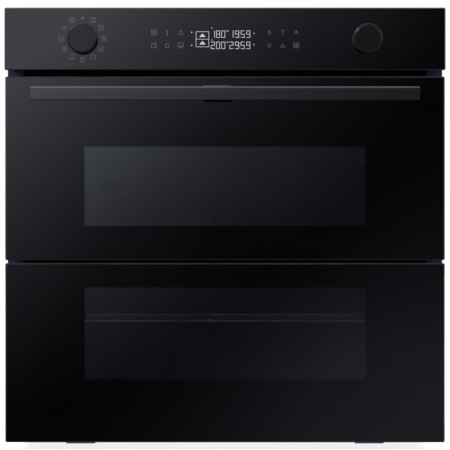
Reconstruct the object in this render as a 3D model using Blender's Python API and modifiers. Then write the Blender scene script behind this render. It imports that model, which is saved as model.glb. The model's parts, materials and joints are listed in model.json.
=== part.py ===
"""A built-in 60 cm oven with a split drop-down door, as separate pieces.

Lengths below are millimetres and become metres in to_world. x runs to the right, z runs up
from the base runners, and depth runs back from the front face of the glass. Each (low, high)
pair is the stretch that a piece covers along one axis.
"""
import math

import bmesh
import bpy
from mathutils import Matrix, Vector

MM = 0.001

# Overall
PANEL_WIDTH = 595.0
OVERALL_HEIGHT = 596.0
CASE_DEPTH = 570.0
HANDLE_REACH = 43.0
CENTRE_DEPTH = (CASE_DEPTH - HANDLE_REACH) / 2
GAP = 0.3
SHEET = 1.2

# Glass fronts
GLASS = 4.0
GLASS_CORNER = 1.5
DOOR_WIDTH = 593.0
PANEL_BOTTOM = 511.6
UPPER_DOOR = (255.3, 503.0)
LOWER_DOOR = (9.5, 251.3)

# Case
CASE_HALF = 280.0
CASE_TOP = 572.0
RUNNER_HEIGHT = 8.0
RUNNER_X = 200.0
RUNNER_WIDTH = 40.0
RUNNER_DEPTHS = (110.0, 540.0)
PANEL_SHEET = 1.0
PANEL_SETBACK = 1.3
SIDE_PANEL_FRONT = 24.0
TOP_VENT = (120.0, 5.0, 14.0)
REAR_VENT = (60.0, 4.0, 12.0)
VENT_SLOTS = 6
FLANGE_FRONT = 20.0
FLANGE_HALF = 294.3
FLANGE_HEIGHTS = (15.0, 592.0)
HEM_INNER = 282.0
HEM_BACK = 23.5
FIXING_X = 287.5
FIXING_HEIGHTS = (60.0, 545.0)
FIXING_RADIUS = 2.4
AIR_SLOT_HALF = 196.0
AIR_SLOT_HEIGHTS = (488.0, 510.0)
LOOM_HOLE_HALF = 60.0
LOOM_HOLE_HEIGHTS = (530.0, 560.0)
RECESS_HALF = 273.0
RECESS_TOP = 514.0
RECESS_PLATE = 44.0
CASE_FRONT = RECESS_PLATE + SHEET + GAP
HINGE_SLOT_HEIGHTS = (11.0, 29.0)
SHELF_HEIGHT = 479.5

# Cavity
CAVITY_HALF = 230.0
CAVITY_HEIGHTS = (62.0, 452.0)
CAVITY_BACK = 480.0
CAVITY_CORNER = 14.0
WOOL_INNER_HALF = 233.0
WOOL_OUTER_HALF = 258.0
WOOL_HEIGHTS = (33.0, 478.0)
WOOL_BACK = 507.0
WOOL_INNER_HEIGHTS = (47.0, 455.5)
LINER_LIP = 6.0
GASKET_HALF = 246.0
GASKET_WIDTH = 10.0
GASKET_HEIGHTS = (52.0, 462.0)
GASKET_DEPTHS = (40.8, 43.7)
FAN_HEIGHTS = {"lower": 157.0, "upper": 346.0}
COVER_HEIGHTS = {"lower": (68.0, 245.0), "upper": (262.0, 430.0)}
COVER_FRONT = 436.0
COVER_HALF = 200.0
INLETS = 10
INLET_REACH = (18.0, 50.0)
OUTLETS = 3
OUTLET_REACH = (150.0, 185.0)
OUTLET_PITCH = 30.0
LOUVRE_WIDTH = 7.0
FAN_BLADES = 8
FAN_RADIUS = 58.0
FAN_BLADE_REACH = (6.0, 56.0)
FAN_DEPTHS = (449.0, 470.5)
FAN_SHAFT_END = 530.0
FAN_SHAFT_RADIUS = 4.0
FAN_MOTOR_SIZE = 60.0
FAN_MOTOR_LENGTH = 36.0
LAMP_DEPTH = 300.0
LAMP_HOLE_RADIUS = 18.0
LAMP_HOLDER_RADIUS = 22.0
LAMP_HEIGHTS = {"lower": 105.2, "upper": 385.2}
LAMP_LENS = [(0.0, 0.0), (1.2, 12.0), (4.0, 21.0), (6.5, 25.0), (8.3, 25.0), (8.3, 16.0),
             (12.0, 16.0), (12.0, 0.0)]
LAMP_LENS_X = 221.4
LAMP_HOLDER_X = (233.8, 268.0)
BULB_WELL = (258.0, 15.0)
SENSOR_X = 208.0
SENSOR_HEIGHTS = {"lower": 225.0, "upper": 400.0}
SENSOR_FRONT = 430.0
SENSOR_LENGTH = 55.0
SENSOR_RADIUS = 2.4
SENSOR_COLLAR = (473.0, 479.5)
GRILL_HEIGHT = 441.0
BOTTOM_ELEMENT_HEIGHT = 53.5
ELEMENT_RADIUS = 3.2
ELEMENT_DEPTHS = (90.0, 400.0)
ELEMENT_HALVES = {"grill": 150.0, "bottom": 165.0}
ELEMENT_RUNS = {"grill": 6, "bottom": 4}
TERMINAL_X = 20.0
RING_TERMINAL_X = 12.0
RING_RADIUS = 72.0
RING_DEPTH = 458.0
RING_STEPS = 20
RING_DROP = math.sqrt(RING_RADIUS ** 2 - RING_TERMINAL_X ** 2)
ELEMENT_END = 512.0

# Shelves
RAIL_X = 218.5
RAIL_RADIUS = 2.5
RAIL_PITCH = 40.0
RAIL_COUNT = 9
LOWEST_RAIL = 85.2
RAIL_DEPTHS = (58.0, 412.0)
RAIL_POST_DEPTHS = (82.0, 392.0)
RAIL_POST_RADIUS = 2.2
RACK_HEIGHT = 171.0
RACK_ROD_PITCH = 21.7
RACK_RODS_EACH_SIDE = 9
RACK_HALF = 216.0
RACK_DEPTHS = (78.0, 422.0)
RACK_FRAME_RADIUS = 3.0
RACK_ROD_RADIUS = 1.6
RACK_RAIL_HEIGHT = 179.3
RACK_RAIL_RADIUS = 2.4
DIVIDER_HALF = 219.5
DIVIDER_DEPTHS = (50.0, 430.0)
DIVIDER_SHEET = 1.4
DIVIDER_HEIGHTS = (248.0, 258.0)

# Door
DOOR_PIVOT = (12.0, 20.0)
UPPER_PIVOT = (10.0, 263.0)
DOOR_FRAME_HALF = 270.0
DOOR_FRAME_HEIGHTS = (30.0, 497.0)
DOOR_FRAME_FRONT = 8.0
DOOR_FRAME_BACK = 36.0
UPPER_BAY_HALF = 250.0
UPPER_BAY = (248.5, 487.0)
WINDOW_HALF = 205.0
LOWER_WINDOW = (82.0, 230.0)
UPPER_WINDOW = (290.0, 421.0)
UPPER_FRAME_HALF = 247.0
UPPER_FRAME_HEIGHTS = (258.0, 484.0)
INNER_GLASS = (36.3, 40.0)
LOWER_INNER_GLASS = (248.0, (34.0, 246.0))
UPPER_INNER_GLASS = (244.0, (262.0, 481.0))
UPPER_PIN_X = 243.0
PIN_RADIUS = 3.0
UPPER_PIN_RADIUS = 2.5
HINGE_X = 250.0
HINGE_ARM_WIDTH = 6.0
HINGE_ARM_HEIGHTS = (14.0, 26.0)
HINGE_ARM_BACK = 130.0
HINGE_EYE_RADIUS = 6.5

# Handle, lever and latch
HANDLE_HEIGHTS = (469.8, 487.8)
HANDLE_HALF = 260.0
HANDLE_THICKNESS = 12.0
HANDLE_EDGE = 1.2
POST_X = (208.0, 253.0)
POST_HALF_HEIGHT = 5.0
STUD_X = 230.5
STUD_RADIUS = 3.0
STUD_END = 7.5
LEVER_X = -10.8
LEVER_HALF = 19.0
LEVER_HEIGHTS = (468.0, 489.5)
LEVER_STEM_WIDTH = 6.0
LEVER_STEM_HEIGHTS = (474.0, 481.0)
LEVER_STEM_END = 6.0
LEVER_TRAVEL = 3.0
LATCH_X = (206.8, 246.4)
LATCH_HEIGHT = 477.0
LATCH_DEPTH = 21.0
LATCH_HALF = 3.0
LATCH_ROD_START = 14.0
LATCH_ROD_RADIUS = 2.0

# Controls
KNOB_X = 192.0
KNOB_HEIGHT = 553.5
KNOB_RADIUS = 20.0
KNOB_FRONT = -20.0
KNOB_BACK = -0.8
KNOB_STEM_END = 14.5
KNOB_STEM_RADIUS = 3.0
CARRIER_BACK = 19.7
CARRIER_HALF = 291.0
CARRIER_HEIGHTS = (514.0, 594.0)
CARRIER_WALL = 2.0
DISPLAY_X = (-24.0, 46.0)
DISPLAY_HEIGHTS = (534.0, 574.0)
CONTROL_BOARD_DEPTHS = (13.0, 14.6)
CONTROL_BOARD_HEIGHTS = (524.0, 584.0)
ENCODER_SIZE = 22.0

# Cooling blower and service space
BLOWER_DEPTH = 362.0
BLOWER_HEIGHT = 523.0
BLOWER_RADIUS = 28.0
BLOWER_HALF = 165.0
BLOWER_DEPTHS = (322.0, 402.0)
BLOWER_TOP = 563.0
BLOWER_WALL = 1.4
BLOWER_BLADES = 10
BLOWER_WHEEL_HALF = 152.0
BLOWER_SHAFT_RADIUS = 3.0
BLOWER_SHAFT_X = (-171.0, 186.0)
BLOWER_MOTOR_X = (170.0, 206.0)
BLOWER_MOTOR_RADIUS = 26.0
DUCT_HALF = 201.0
DUCT_HEIGHTS = (481.0, 513.0)
GLAND_X = 215.0
GLAND_HEIGHT = 506.0
GLAND_RADIUS = 8.0
TERMINAL_BOX_X = (180.0, 250.0)
TERMINAL_BOX_FRONT = 510.0
TERMINAL_BOX_HEIGHT = 50.0
POWER_BOARD_X = (-262.0, -110.0)
POWER_BOARD_DEPTHS = (425.0, 550.0)
BOARD_THICKNESS = 1.6
STANDOFF_HEIGHT = 8.0
TRANSFORMER = ((-250.0, -222.0), (440.0, 478.0), 24.0)
RELAY_X = (-202.0, -172.0, -142.0)
RELAY_DEPTHS = (440.0, 468.0)
RELAY_HEIGHT = 16.0
TERMINAL_ROW = ((-240.0, -140.0), (505.0, 517.0), 12.0)

SIDES = {"left": -1, "right": 1}

LOOKS = {
    "black_glass": ((0.010, 0.011, 0.013), 0.12, 0.0),
    "clear_glass": ((0.10, 0.12, 0.12), 0.05, 0.0),
    "navy_enamel": ((0.012, 0.017, 0.036), 0.35, 0.0),
    "grey_enamel": ((0.055, 0.060, 0.066), 0.40, 0.0),
    "galvanised_steel": ((0.42, 0.44, 0.46), 0.42, 1.0),
    "dark_steel": ((0.085, 0.088, 0.096), 0.40, 1.0),
    "dark_aluminium": ((0.105, 0.108, 0.118), 0.34, 1.0),
    "chrome_wire": ((0.62, 0.63, 0.65), 0.18, 1.0),
    "element_steel": ((0.16, 0.14, 0.13), 0.55, 1.0),
    "aluminium": ((0.58, 0.59, 0.60), 0.35, 1.0),
    "black_plastic": ((0.020, 0.020, 0.022), 0.50, 0.0),
    "white_plastic": ((0.62, 0.62, 0.58), 0.50, 0.0),
    "circuit_board": ((0.02, 0.14, 0.06), 0.55, 0.0),
    "mineral_wool": ((0.60, 0.54, 0.36), 0.95, 0.0),
    "seal_rubber": ((0.030, 0.030, 0.032), 0.80, 0.0),
}


def to_world(x, depth, z):
    """A place in metres, from millimetres across, behind the glass and above the base."""
    return Vector((x, depth - CENTRE_DEPTH, z)) * MM


def span(centre, width):
    return (centre - width / 2, centre + width / 2)


def mirrored(side, low, high):
    """The stretch from low to high on the right, or its mirror image on the left."""
    return (low, high) if side > 0 else (-high, -low)


def grown(stretch, margin):
    return (stretch[0] - margin, stretch[1] + margin)


def evenly(middle, pitch, count):
    """The middles of count slots, pitch apart, either side of middle."""
    return [middle + pitch * (index - (count - 1) / 2) for index in range(count)]


def clear_scene():
    for item in list(bpy.data.objects):
        bpy.data.objects.remove(item, do_unlink=True)


def make_collection(name):
    collection = bpy.data.collections.new(name)
    bpy.context.scene.collection.children.link(collection)
    return collection


def make_look(name, colour, roughness, metallic):
    look = bpy.data.materials.new(name)
    look.use_nodes = True
    shader = look.node_tree.nodes["Principled BSDF"]
    shader.inputs["Base Color"].default_value = (*colour, 1.0)
    shader.inputs["Roughness"].default_value = roughness
    shader.inputs["Metallic"].default_value = metallic
    look.diffuse_color = (*colour, 1.0)
    return look


clear_scene()
PARTS = make_collection("wall_oven")
CUTTERS = make_collection("cutters")
MATERIALS = {name: make_look(name, *values) for name, values in LOOKS.items()}


def add_object(name, shape, look):
    """Turns a bmesh into a named object with its material."""
    mesh = bpy.data.meshes.new(name)
    shape.to_mesh(mesh)
    shape.free()
    piece = bpy.data.objects.new(name, mesh)
    PARTS.objects.link(piece)
    if look:
        mesh.materials.append(MATERIALS[look])
    return piece


def box(name, x, depth, z, look=None, corner=0.0, along="Y", segments=3):
    """A block; its four edges along one axis are rounded when corner is given."""
    low, high = to_world(x[0], depth[0], z[0]), to_world(x[1], depth[1], z[1])
    shape = bmesh.new()
    bmesh.ops.create_cube(shape, size=1.0)
    bmesh.ops.scale(shape, vec=high - low, verts=shape.verts)
    bmesh.ops.translate(shape, vec=(low + high) / 2, verts=shape.verts)
    if corner:
        axis = Vector({"X": (1, 0, 0), "Y": (0, 1, 0), "Z": (0, 0, 1)}[along])
        edges = [edge for edge in shape.edges
                 if abs((edge.verts[0].co - edge.verts[1].co).normalized().dot(axis)) > 0.9]
        bmesh.ops.bevel(shape, geom=edges, offset=corner * MM, segments=segments, profile=0.5,
                        affect="EDGES")
    return add_object(name, shape, look)


def rod(name, start, end, radius, look=None, sides=12):
    """A round bar between two (x, depth, z) places."""
    start, end = to_world(*start), to_world(*end)
    shape = bmesh.new()
    bmesh.ops.create_cone(shape, cap_ends=True, segments=sides, radius1=radius * MM,
                          radius2=radius * MM, depth=(end - start).length)
    turn = (end - start).to_track_quat("Z", "Y").to_matrix().to_4x4()
    shape.transform(Matrix.Translation((start + end) / 2) @ turn)
    piece = add_object(name, shape, look)
    shade_round(piece)
    return piece


def turned(name, profile, centre, direction, look, steps=32):
    """A lathe piece: profile lists (distance along direction, radius) from end to end."""
    shape = bmesh.new()
    verts = [shape.verts.new((radius * MM, 0.0, -along * MM)) for along, radius in profile]
    for first, second in zip(verts, verts[1:]):
        shape.edges.new((first, second))
    piece = add_object(name, shape, look)
    screw = piece.modifiers.new("lathe", "SCREW")
    screw.steps = steps
    screw.render_steps = steps
    screw.use_merge_vertices = True
    screw.merge_threshold = 0.00001
    turn = Vector(direction).to_track_quat("-Z", "Y").to_matrix().to_4x4()
    piece.matrix_world = Matrix.Translation(to_world(*centre)) @ turn
    return piece


def tube(name, places, radius, look):
    """A bent round tube through (x, depth, z) places."""
    curve = bpy.data.curves.new(name, "CURVE")
    curve.dimensions = "3D"
    curve.bevel_depth = radius * MM
    curve.bevel_resolution = 2
    curve.use_fill_caps = True
    spline = curve.splines.new("POLY")
    spline.points.add(len(places) - 1)
    for point, place in zip(spline.points, places):
        point.co = (*to_world(*place), 1.0)
    curve.materials.append(MATERIALS[look])
    piece = bpy.data.objects.new(name, curve)
    PARTS.objects.link(piece)
    return piece


def bend(centre, radius, start, end, steps):
    """Places on an arc in the x-depth plane; centre is (x, depth, z), angles in degrees."""
    x, depth, z = centre
    angles = [math.radians(start + (end - start) * step / steps) for step in range(steps + 1)]
    return [(x + radius * math.cos(a), depth + radius * math.sin(a), z) for a in angles]


def shade_round(piece):
    piece.data.shade_smooth()
    piece.data.set_sharp_from_angle(angle=math.radians(35))


def shaped_by(piece, tool, operation):
    for collection in list(tool.users_collection):
        collection.objects.unlink(tool)
    CUTTERS.objects.link(tool)
    tool.hide_render = True
    tool.display_type = "WIRE"
    change = piece.modifiers.new(tool.name, "BOOLEAN")
    change.operation = operation
    change.solver = "EXACT"
    change.object = tool


def carve(piece, *tools):
    for tool in tools:
        shaped_by(piece, tool, "DIFFERENCE")
    return piece


def weld(piece, *tools):
    for tool in tools:
        shaped_by(piece, tool, "UNION")
    return piece


def spin(piece, centre, angle):
    """Turns a piece's mesh by angle degrees round the depth axis through centre."""
    place = to_world(*centre)
    turn = Matrix.Rotation(math.radians(angle), 4, "Y")
    piece.data.transform(Matrix.Translation(place) @ turn @ Matrix.Translation(-place))
    return piece


def joint(name, x, depth, z, *pieces):
    """An empty on a joint's axis that carries the pieces which move with it."""
    empty = bpy.data.objects.new(name, None)
    empty.location = to_world(x, depth, z)
    empty.empty_display_size = 0.02
    PARTS.objects.link(empty)
    for piece in pieces:
        carry(empty, piece)
    return empty


def carry(empty, piece):
    piece.parent = empty
    piece.matrix_parent_inverse = Matrix.Translation(empty.location).inverted()


# ---------------------------------------------------------------- case

def build_base_plate():
    half = CASE_HALF - PANEL_SETBACK
    heights = (RUNNER_HEIGHT, RUNNER_HEIGHT + SHEET)
    plate = box("base_plate", (-half, half), (CASE_FRONT, CASE_DEPTH - PANEL_SETBACK), heights,
                "galvanised_steel")
    for name, side in SIDES.items():
        across = span(side * RUNNER_X, RUNNER_WIDTH)
        runner = box(name + "_runner", across, RUNNER_DEPTHS, (0.0, heights[1]))
        hollow = box(name + "_runner_hollow", grown(across, -SHEET), grown(RUNNER_DEPTHS, -SHEET),
                     (SHEET, heights[1] + SHEET))
        weld(plate, runner)
        carve(plate, hollow)


def build_case_panels():
    top_of_sides = CASE_TOP - PANEL_SETBACK
    for name, side in SIDES.items():
        box(name + "_side_panel", mirrored(side, CASE_HALF - PANEL_SHEET, CASE_HALF),
            (SIDE_PANEL_FRONT, CASE_DEPTH - PANEL_SETBACK), (RUNNER_HEIGHT, top_of_sides),
            "galvanised_steel")
    cover = box("top_cover", (-CASE_HALF, CASE_HALF), (FLANGE_FRONT + SHEET + GAP, CASE_DEPTH),
                (CASE_TOP - PANEL_SHEET, CASE_TOP), "galvanised_steel")
    through = (CASE_TOP - PANEL_SHEET - 2.0, CASE_TOP + 3.0)
    half, width, pitch = TOP_VENT
    for middle in evenly(BLOWER_DEPTH, pitch, VENT_SLOTS):
        carve(cover, box("top_vent", (-half, half), span(middle, width), through))
    rear = box("rear_panel", (-CASE_HALF, CASE_HALF), (CASE_DEPTH - PANEL_SHEET, CASE_DEPTH),
               (RUNNER_HEIGHT + SHEET + GAP, top_of_sides), "galvanised_steel")
    through = (CASE_DEPTH - PANEL_SHEET - 2.0, CASE_DEPTH + 3.0)
    half, width, pitch = REAR_VENT
    for height in FAN_HEIGHTS.values():
        for middle in evenly(height, pitch, VENT_SLOTS):
            carve(rear, box("rear_vent", (-half, half), through, span(middle, width)))
    carve(rear, rod("gland_clearance", (GLAND_X, through[0], GLAND_HEIGHT),
                    (GLAND_X, through[1], GLAND_HEIGHT), GLAND_RADIUS + 4.0))


def build_service_shelf():
    half = CASE_HALF - 2.0
    box("service_shelf", (-half, half), (CASE_FRONT, CASE_DEPTH - 1.5),
        (SHELF_HEIGHT, SHELF_HEIGHT + SHEET), "galvanised_steel")


def build_front_frame():
    flange = (FLANGE_FRONT, FLANGE_FRONT + SHEET)
    plate = (RECESS_PLATE, RECESS_PLATE + SHEET)
    through = (RECESS_PLATE - 1.0, RECESS_PLATE + 3.0)
    frame = box("front_frame", (-FLANGE_HALF, FLANGE_HALF), flange, FLANGE_HEIGHTS, "navy_enamel",
                corner=3.0)
    wall = RECESS_HALF + SHEET
    weld(frame, box("recess_block", (-wall, wall), (FLANGE_FRONT, plate[1]),
                    (FLANGE_HEIGHTS[0], RECESS_TOP + SHEET)))
    weld(frame, box("recess_skirt", (-RECESS_HALF, RECESS_HALF), plate,
                    (RUNNER_HEIGHT + SHEET + GAP, FLANGE_HEIGHTS[0] + 1.0)))
    for name, side in SIDES.items():
        weld(frame, box(name + "_hem", mirrored(side, HEM_INNER, FLANGE_HALF),
                        (flange[0] + 0.5, HEM_BACK), grown(FLANGE_HEIGHTS, -4.0)))
    carve(frame, box("recess", (-RECESS_HALF, RECESS_HALF), (FLANGE_FRONT - 1.0, RECESS_PLATE),
                     (0.0, RECESS_TOP)))
    carve(frame, box("mouth", (-CAVITY_HALF, CAVITY_HALF), through, CAVITY_HEIGHTS,
                     corner=CAVITY_CORNER))
    carve(frame, box("air_slot", (-AIR_SLOT_HALF, AIR_SLOT_HALF), through, AIR_SLOT_HEIGHTS))
    carve(frame, box("loom_hole", (-LOOM_HOLE_HALF, LOOM_HOLE_HALF), grown(flange, 2.0),
                     LOOM_HOLE_HEIGHTS))
    for name, side in SIDES.items():
        carve(frame, box(name + "_hinge_slot", span(side * HINGE_X, 10.0), through,
                         HINGE_SLOT_HEIGHTS))
        for height in FIXING_HEIGHTS:
            carve(frame, rod("fixing_hole", (side * FIXING_X, flange[0] - 2.0, height),
                             (side * FIXING_X, HEM_BACK + 2.0, height), FIXING_RADIUS, sides=8))


# ---------------------------------------------------------------- cavity and heating

def wall_holes(margin):
    """Cutters for what passes through the cavity's back wall and the wool behind it."""
    back, front = WOOL_BACK + 5.0, COVER_FRONT + 20.0
    cutters = []
    for zone, height in FAN_HEIGHTS.items():
        cutters.append(((0.0, height), 6.0))
        for side in SIDES.values():
            cutters.append(((side * RING_TERMINAL_X, height - RING_DROP), ELEMENT_RADIUS + 1.0))
        cutters.append(((SENSOR_X, SENSOR_HEIGHTS[zone]), 4.0))
    for side in SIDES.values():
        cutters.append(((side * TERMINAL_X, GRILL_HEIGHT), ELEMENT_RADIUS + 1.0))
        if margin:
            cutters.append(((side * TERMINAL_X, BOTTOM_ELEMENT_HEIGHT), ELEMENT_RADIUS + 1.0))
    return [rod("wall_hole", (x, front, z), (x, back, z), radius + margin, sides=8)
            for (x, z), radius in cutters]


def lamp_holes(radius):
    reach = (CAVITY_HALF - 5.0, WOOL_OUTER_HALF + 5.0)
    return [rod("lamp_hole", (reach[0], LAMP_DEPTH, z), (reach[1], LAMP_DEPTH, z), radius, sides=10)
            for z in LAMP_HEIGHTS.values()]


def build_cavity():
    outer_half, outer_z = CAVITY_HALF + SHEET, grown(CAVITY_HEIGHTS, SHEET)
    front, lip = CASE_FRONT, LINER_LIP
    liner = box("cavity_liner", (-outer_half, outer_half), (front + 0.5, CAVITY_BACK + SHEET),
                outer_z, "grey_enamel", corner=CAVITY_CORNER)
    weld(liner, box("liner_lip", (-outer_half - lip, outer_half + lip), (front, front + SHEET),
                    grown(outer_z, lip), corner=CAVITY_CORNER))
    carve(liner, box("liner_hollow", (-CAVITY_HALF, CAVITY_HALF), (front - 5.0, CAVITY_BACK),
                     CAVITY_HEIGHTS, corner=CAVITY_CORNER))
    carve(liner, *wall_holes(0.0), *lamp_holes(LAMP_HOLE_RADIUS))

    wool = box("insulation_wrap", (-WOOL_OUTER_HALF, WOOL_OUTER_HALF), (front + 5.0, WOOL_BACK),
               WOOL_HEIGHTS, "mineral_wool", corner=20.0, segments=2)
    carve(wool, box("wool_hollow", (-WOOL_INNER_HALF, WOOL_INNER_HALF),
                    (front, CAVITY_BACK + 3.0), WOOL_INNER_HEIGHTS))
    carve(wool, *wall_holes(2.0), *lamp_holes(LAMP_HOLDER_RADIUS + 3.0))

    seal = box("cavity_gasket", (-GASKET_HALF, GASKET_HALF), GASKET_DEPTHS, GASKET_HEIGHTS,
               "seal_rubber", corner=20.0)
    inner = GASKET_HALF - GASKET_WIDTH
    carve(seal, box("gasket_hollow", (-inner, inner), grown(GASKET_DEPTHS, 1.5),
                    grown(CAVITY_HEIGHTS, 1.5), corner=12.0))


def build_elements():
    front, back = ELEMENT_DEPTHS
    tails = (back + 16.0, back + 24.0, back + 32.0)
    for name, height in (("grill", GRILL_HEIGHT), ("bottom", BOTTOM_ELEMENT_HEIGHT)):
        half, runs = ELEMENT_HALVES[name], ELEMENT_RUNS[name]
        pitch = 2 * half / (runs - 1)
        radius = pitch / 2
        tail = [(TERMINAL_X, ELEMENT_END), (TERMINAL_X, tails[2]), (TERMINAL_X + 8.0, tails[1]),
                (half - 8.0, tails[1]), (half, tails[0])]
        places = [(-x, depth, height) for x, depth in tail]
        for run in range(runs):
            x = -half + run * pitch
            if run % 2 == 0:
                places += bend((x + radius, front + radius, height), radius, 180, 360, 5)
            elif run < runs - 1:
                places += bend((x + radius, back - radius, height), radius, 180, 0, 5)
        places += [(x, depth, height) for x, depth in reversed(tail)]
        tube(name + "_element", places, ELEMENT_RADIUS, "element_steel")

    for zone, height in FAN_HEIGHTS.items():
        ring_element(zone + "_ring_element", height)


def ring_element(name, height):
    """A ring round the fan; its two ends run back side by side through the wall."""
    opening = math.degrees(math.asin(RING_TERMINAL_X / RING_RADIUS))
    ring = []
    for step in range(RING_STEPS + 1):
        angle = math.radians(270.0 - opening - (360.0 - 2 * opening) * step / RING_STEPS)
        x, z = RING_RADIUS * math.cos(angle), height + RING_RADIUS * math.sin(angle)
        ring.append((x, RING_DEPTH, z))
    ends = [[(x, ELEMENT_END, z), (x, RING_DEPTH + 10.0, z)] for x, _, z in (ring[0], ring[-1])]
    tube(name, ends[0] + ring[1:-1] + ends[1][::-1], ELEMENT_RADIUS, "element_steel")


def build_fans():
    for zone, height in FAN_HEIGHTS.items():
        build_fan_cover(zone, height)
        build_fan_wheel(zone, height)
        build_fan_motor(zone, height)


def build_fan_cover(zone, height):
    half, bottom_top = COVER_HALF, COVER_HEIGHTS[zone]
    cover = box(zone + "_fan_cover", (-half, half), (COVER_FRONT, CAVITY_BACK - 0.6), bottom_top,
                "grey_enamel", corner=12.0)
    carve(cover, box("cover_hollow", (-half + SHEET, half - SHEET),
                     (COVER_FRONT + SHEET, CAVITY_BACK + 5.0), grown(bottom_top, -SHEET),
                     corner=11.0))
    through = (COVER_FRONT - 2.0, COVER_FRONT + 4.0)
    for index in range(INLETS):
        inlet = box("inlet", INLET_REACH, through, span(height, LOUVRE_WIDTH))
        carve(cover, spin(inlet, (0.0, through[0], height), 360.0 * (index + 0.5) / INLETS))
    for side in SIDES.values():
        for middle in evenly(height, OUTLET_PITCH, OUTLETS):
            carve(cover, box("outlet", mirrored(side, *OUTLET_REACH), through,
                             span(middle, LOUVRE_WIDTH)))


def build_fan_wheel(zone, height):
    front, back = FAN_DEPTHS
    wheel = rod(zone + "_fan_wheel", (0.0, back, height), (0.0, back + 1.5, height), FAN_RADIUS,
                "galvanised_steel", sides=20)
    weld(wheel, rod("hub", (0.0, front - 2.0, height), (0.0, back + 3.0, height), 9.0))
    weld(wheel, rod("shaft", (0.0, back, height), (0.0, FAN_SHAFT_END, height),
                    FAN_SHAFT_RADIUS, sides=12))
    for index in range(FAN_BLADES):
        blade = box("blade", FAN_BLADE_REACH, (front, back + 0.5), span(height, 1.5))
        weld(wheel, spin(blade, (0.0, front, height), 360.0 * index / FAN_BLADES))
    joint(zone + "_fan_axis", 0.0, back, height, wheel)


def build_fan_motor(zone, height):
    foot = WOOL_BACK + 1.5
    front, back = foot + 2.0, foot + 2.0 + FAN_MOTOR_LENGTH
    motor = box(zone + "_fan_motor", span(0.0, FAN_MOTOR_SIZE), (front, back),
                span(height, FAN_MOTOR_SIZE), "galvanised_steel", corner=6.0)
    weld(motor, box("bracket", (-58.0, 58.0), (foot, front + 0.5), span(height + 6.0, 24.0)))
    weld(motor, rod("end_cap", (0.0, back - 1.0, height), (0.0, back + 6.0, height), 20.0))
    carve(motor, rod("bore", (0.0, foot - 3.0, height), (0.0, FAN_SHAFT_END + 4.0, height),
                     FAN_SHAFT_RADIUS + 0.8, sides=12))


def build_side_racks():
    top = LOWEST_RAIL + RAIL_PITCH * (RAIL_COUNT - 1)
    post_x = RAIL_X + 4.1
    for name, side in SIDES.items():
        rack = None
        for depth in RAIL_POST_DEPTHS:
            post = rod(name + "_side_rack", (side * post_x, depth, LOWEST_RAIL - 8.0),
                       (side * post_x, depth, top + 8.0), RAIL_POST_RADIUS, "chrome_wire", sides=8)
            for height in (LOWEST_RAIL + 14.8, top - 12.0):
                weld(post, rod("peg", (side * post_x, depth, height),
                               (side * (CAVITY_HALF - 0.5), depth, height), 1.8, sides=8))
            if rack is None:
                rack = post
            else:
                weld(rack, post)
        for index in range(RAIL_COUNT):
            height = LOWEST_RAIL + RAIL_PITCH * index
            weld(rack, rod("rail", (side * RAIL_X, RAIL_DEPTHS[0], height),
                           (side * RAIL_X, RAIL_DEPTHS[1], height), RAIL_RADIUS, sides=6))


def build_wire_rack():
    half, radius = RACK_HALF, RACK_FRAME_RADIUS
    front, back = RACK_DEPTHS
    rail_depth = front + 6.0
    rack = rod("wire_rack", (-half - radius, front, RACK_HEIGHT),
               (half + radius, front, RACK_HEIGHT), radius, "chrome_wire", sides=8)
    weld(rack, rod("rear_rail", (-half - radius, back, RACK_HEIGHT),
                   (half + radius, back, RACK_HEIGHT), radius, sides=8))
    for side in SIDES.values():
        weld(rack, rod("side_rail", (side * half, front - 1.0, RACK_HEIGHT),
                       (side * half, back + 1.0, RACK_HEIGHT), radius - 0.2, sides=8))
        weld(rack, rod("rail_post", (side * (half - 4.0), rail_depth, RACK_HEIGHT - 1.0),
                       (side * (half - 4.0), rail_depth, RACK_RAIL_HEIGHT + 1.7), 2.0, sides=8))
        weld(rack, rod("post_tie", (side * half, rail_depth, RACK_HEIGHT),
                       (side * (half - 6.0), rail_depth, RACK_HEIGHT), 2.0, sides=8))
    weld(rack, rod("upper_rail", (-half + 3.0, rail_depth, RACK_RAIL_HEIGHT),
                   (half - 3.0, rail_depth, RACK_RAIL_HEIGHT), RACK_RAIL_RADIUS, sides=8))
    rods_height = RACK_HEIGHT + radius + 0.6
    for x in evenly(0.0, RACK_ROD_PITCH, 2 * RACK_RODS_EACH_SIDE + 1):
        weld(rack, rod("grid_rod", (x, front - 1.5, rods_height), (x, back + 1.5, rods_height),
                       RACK_ROD_RADIUS, sides=5))
    joint("wire_rack_slide_axis", 0.0, front, RACK_HEIGHT, rack)


def build_divider():
    half, depths, wall = DIVIDER_HALF, DIVIDER_DEPTHS, DIVIDER_SHEET
    plate = box("divider_plate", (-half, half), depths, DIVIDER_HEIGHTS, "grey_enamel",
                corner=8.0, along="Z")
    under = (DIVIDER_HEIGHTS[0] - 2.0, DIVIDER_HEIGHTS[1] - wall)
    carve(plate, box("divider_hollow", (-half + wall, half - wall), grown(depths, -wall), under,
                     corner=7.0, along="Z"))
    joint("divider_slide_axis", 0.0, depths[0], DIVIDER_HEIGHTS[0], plate)


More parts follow.
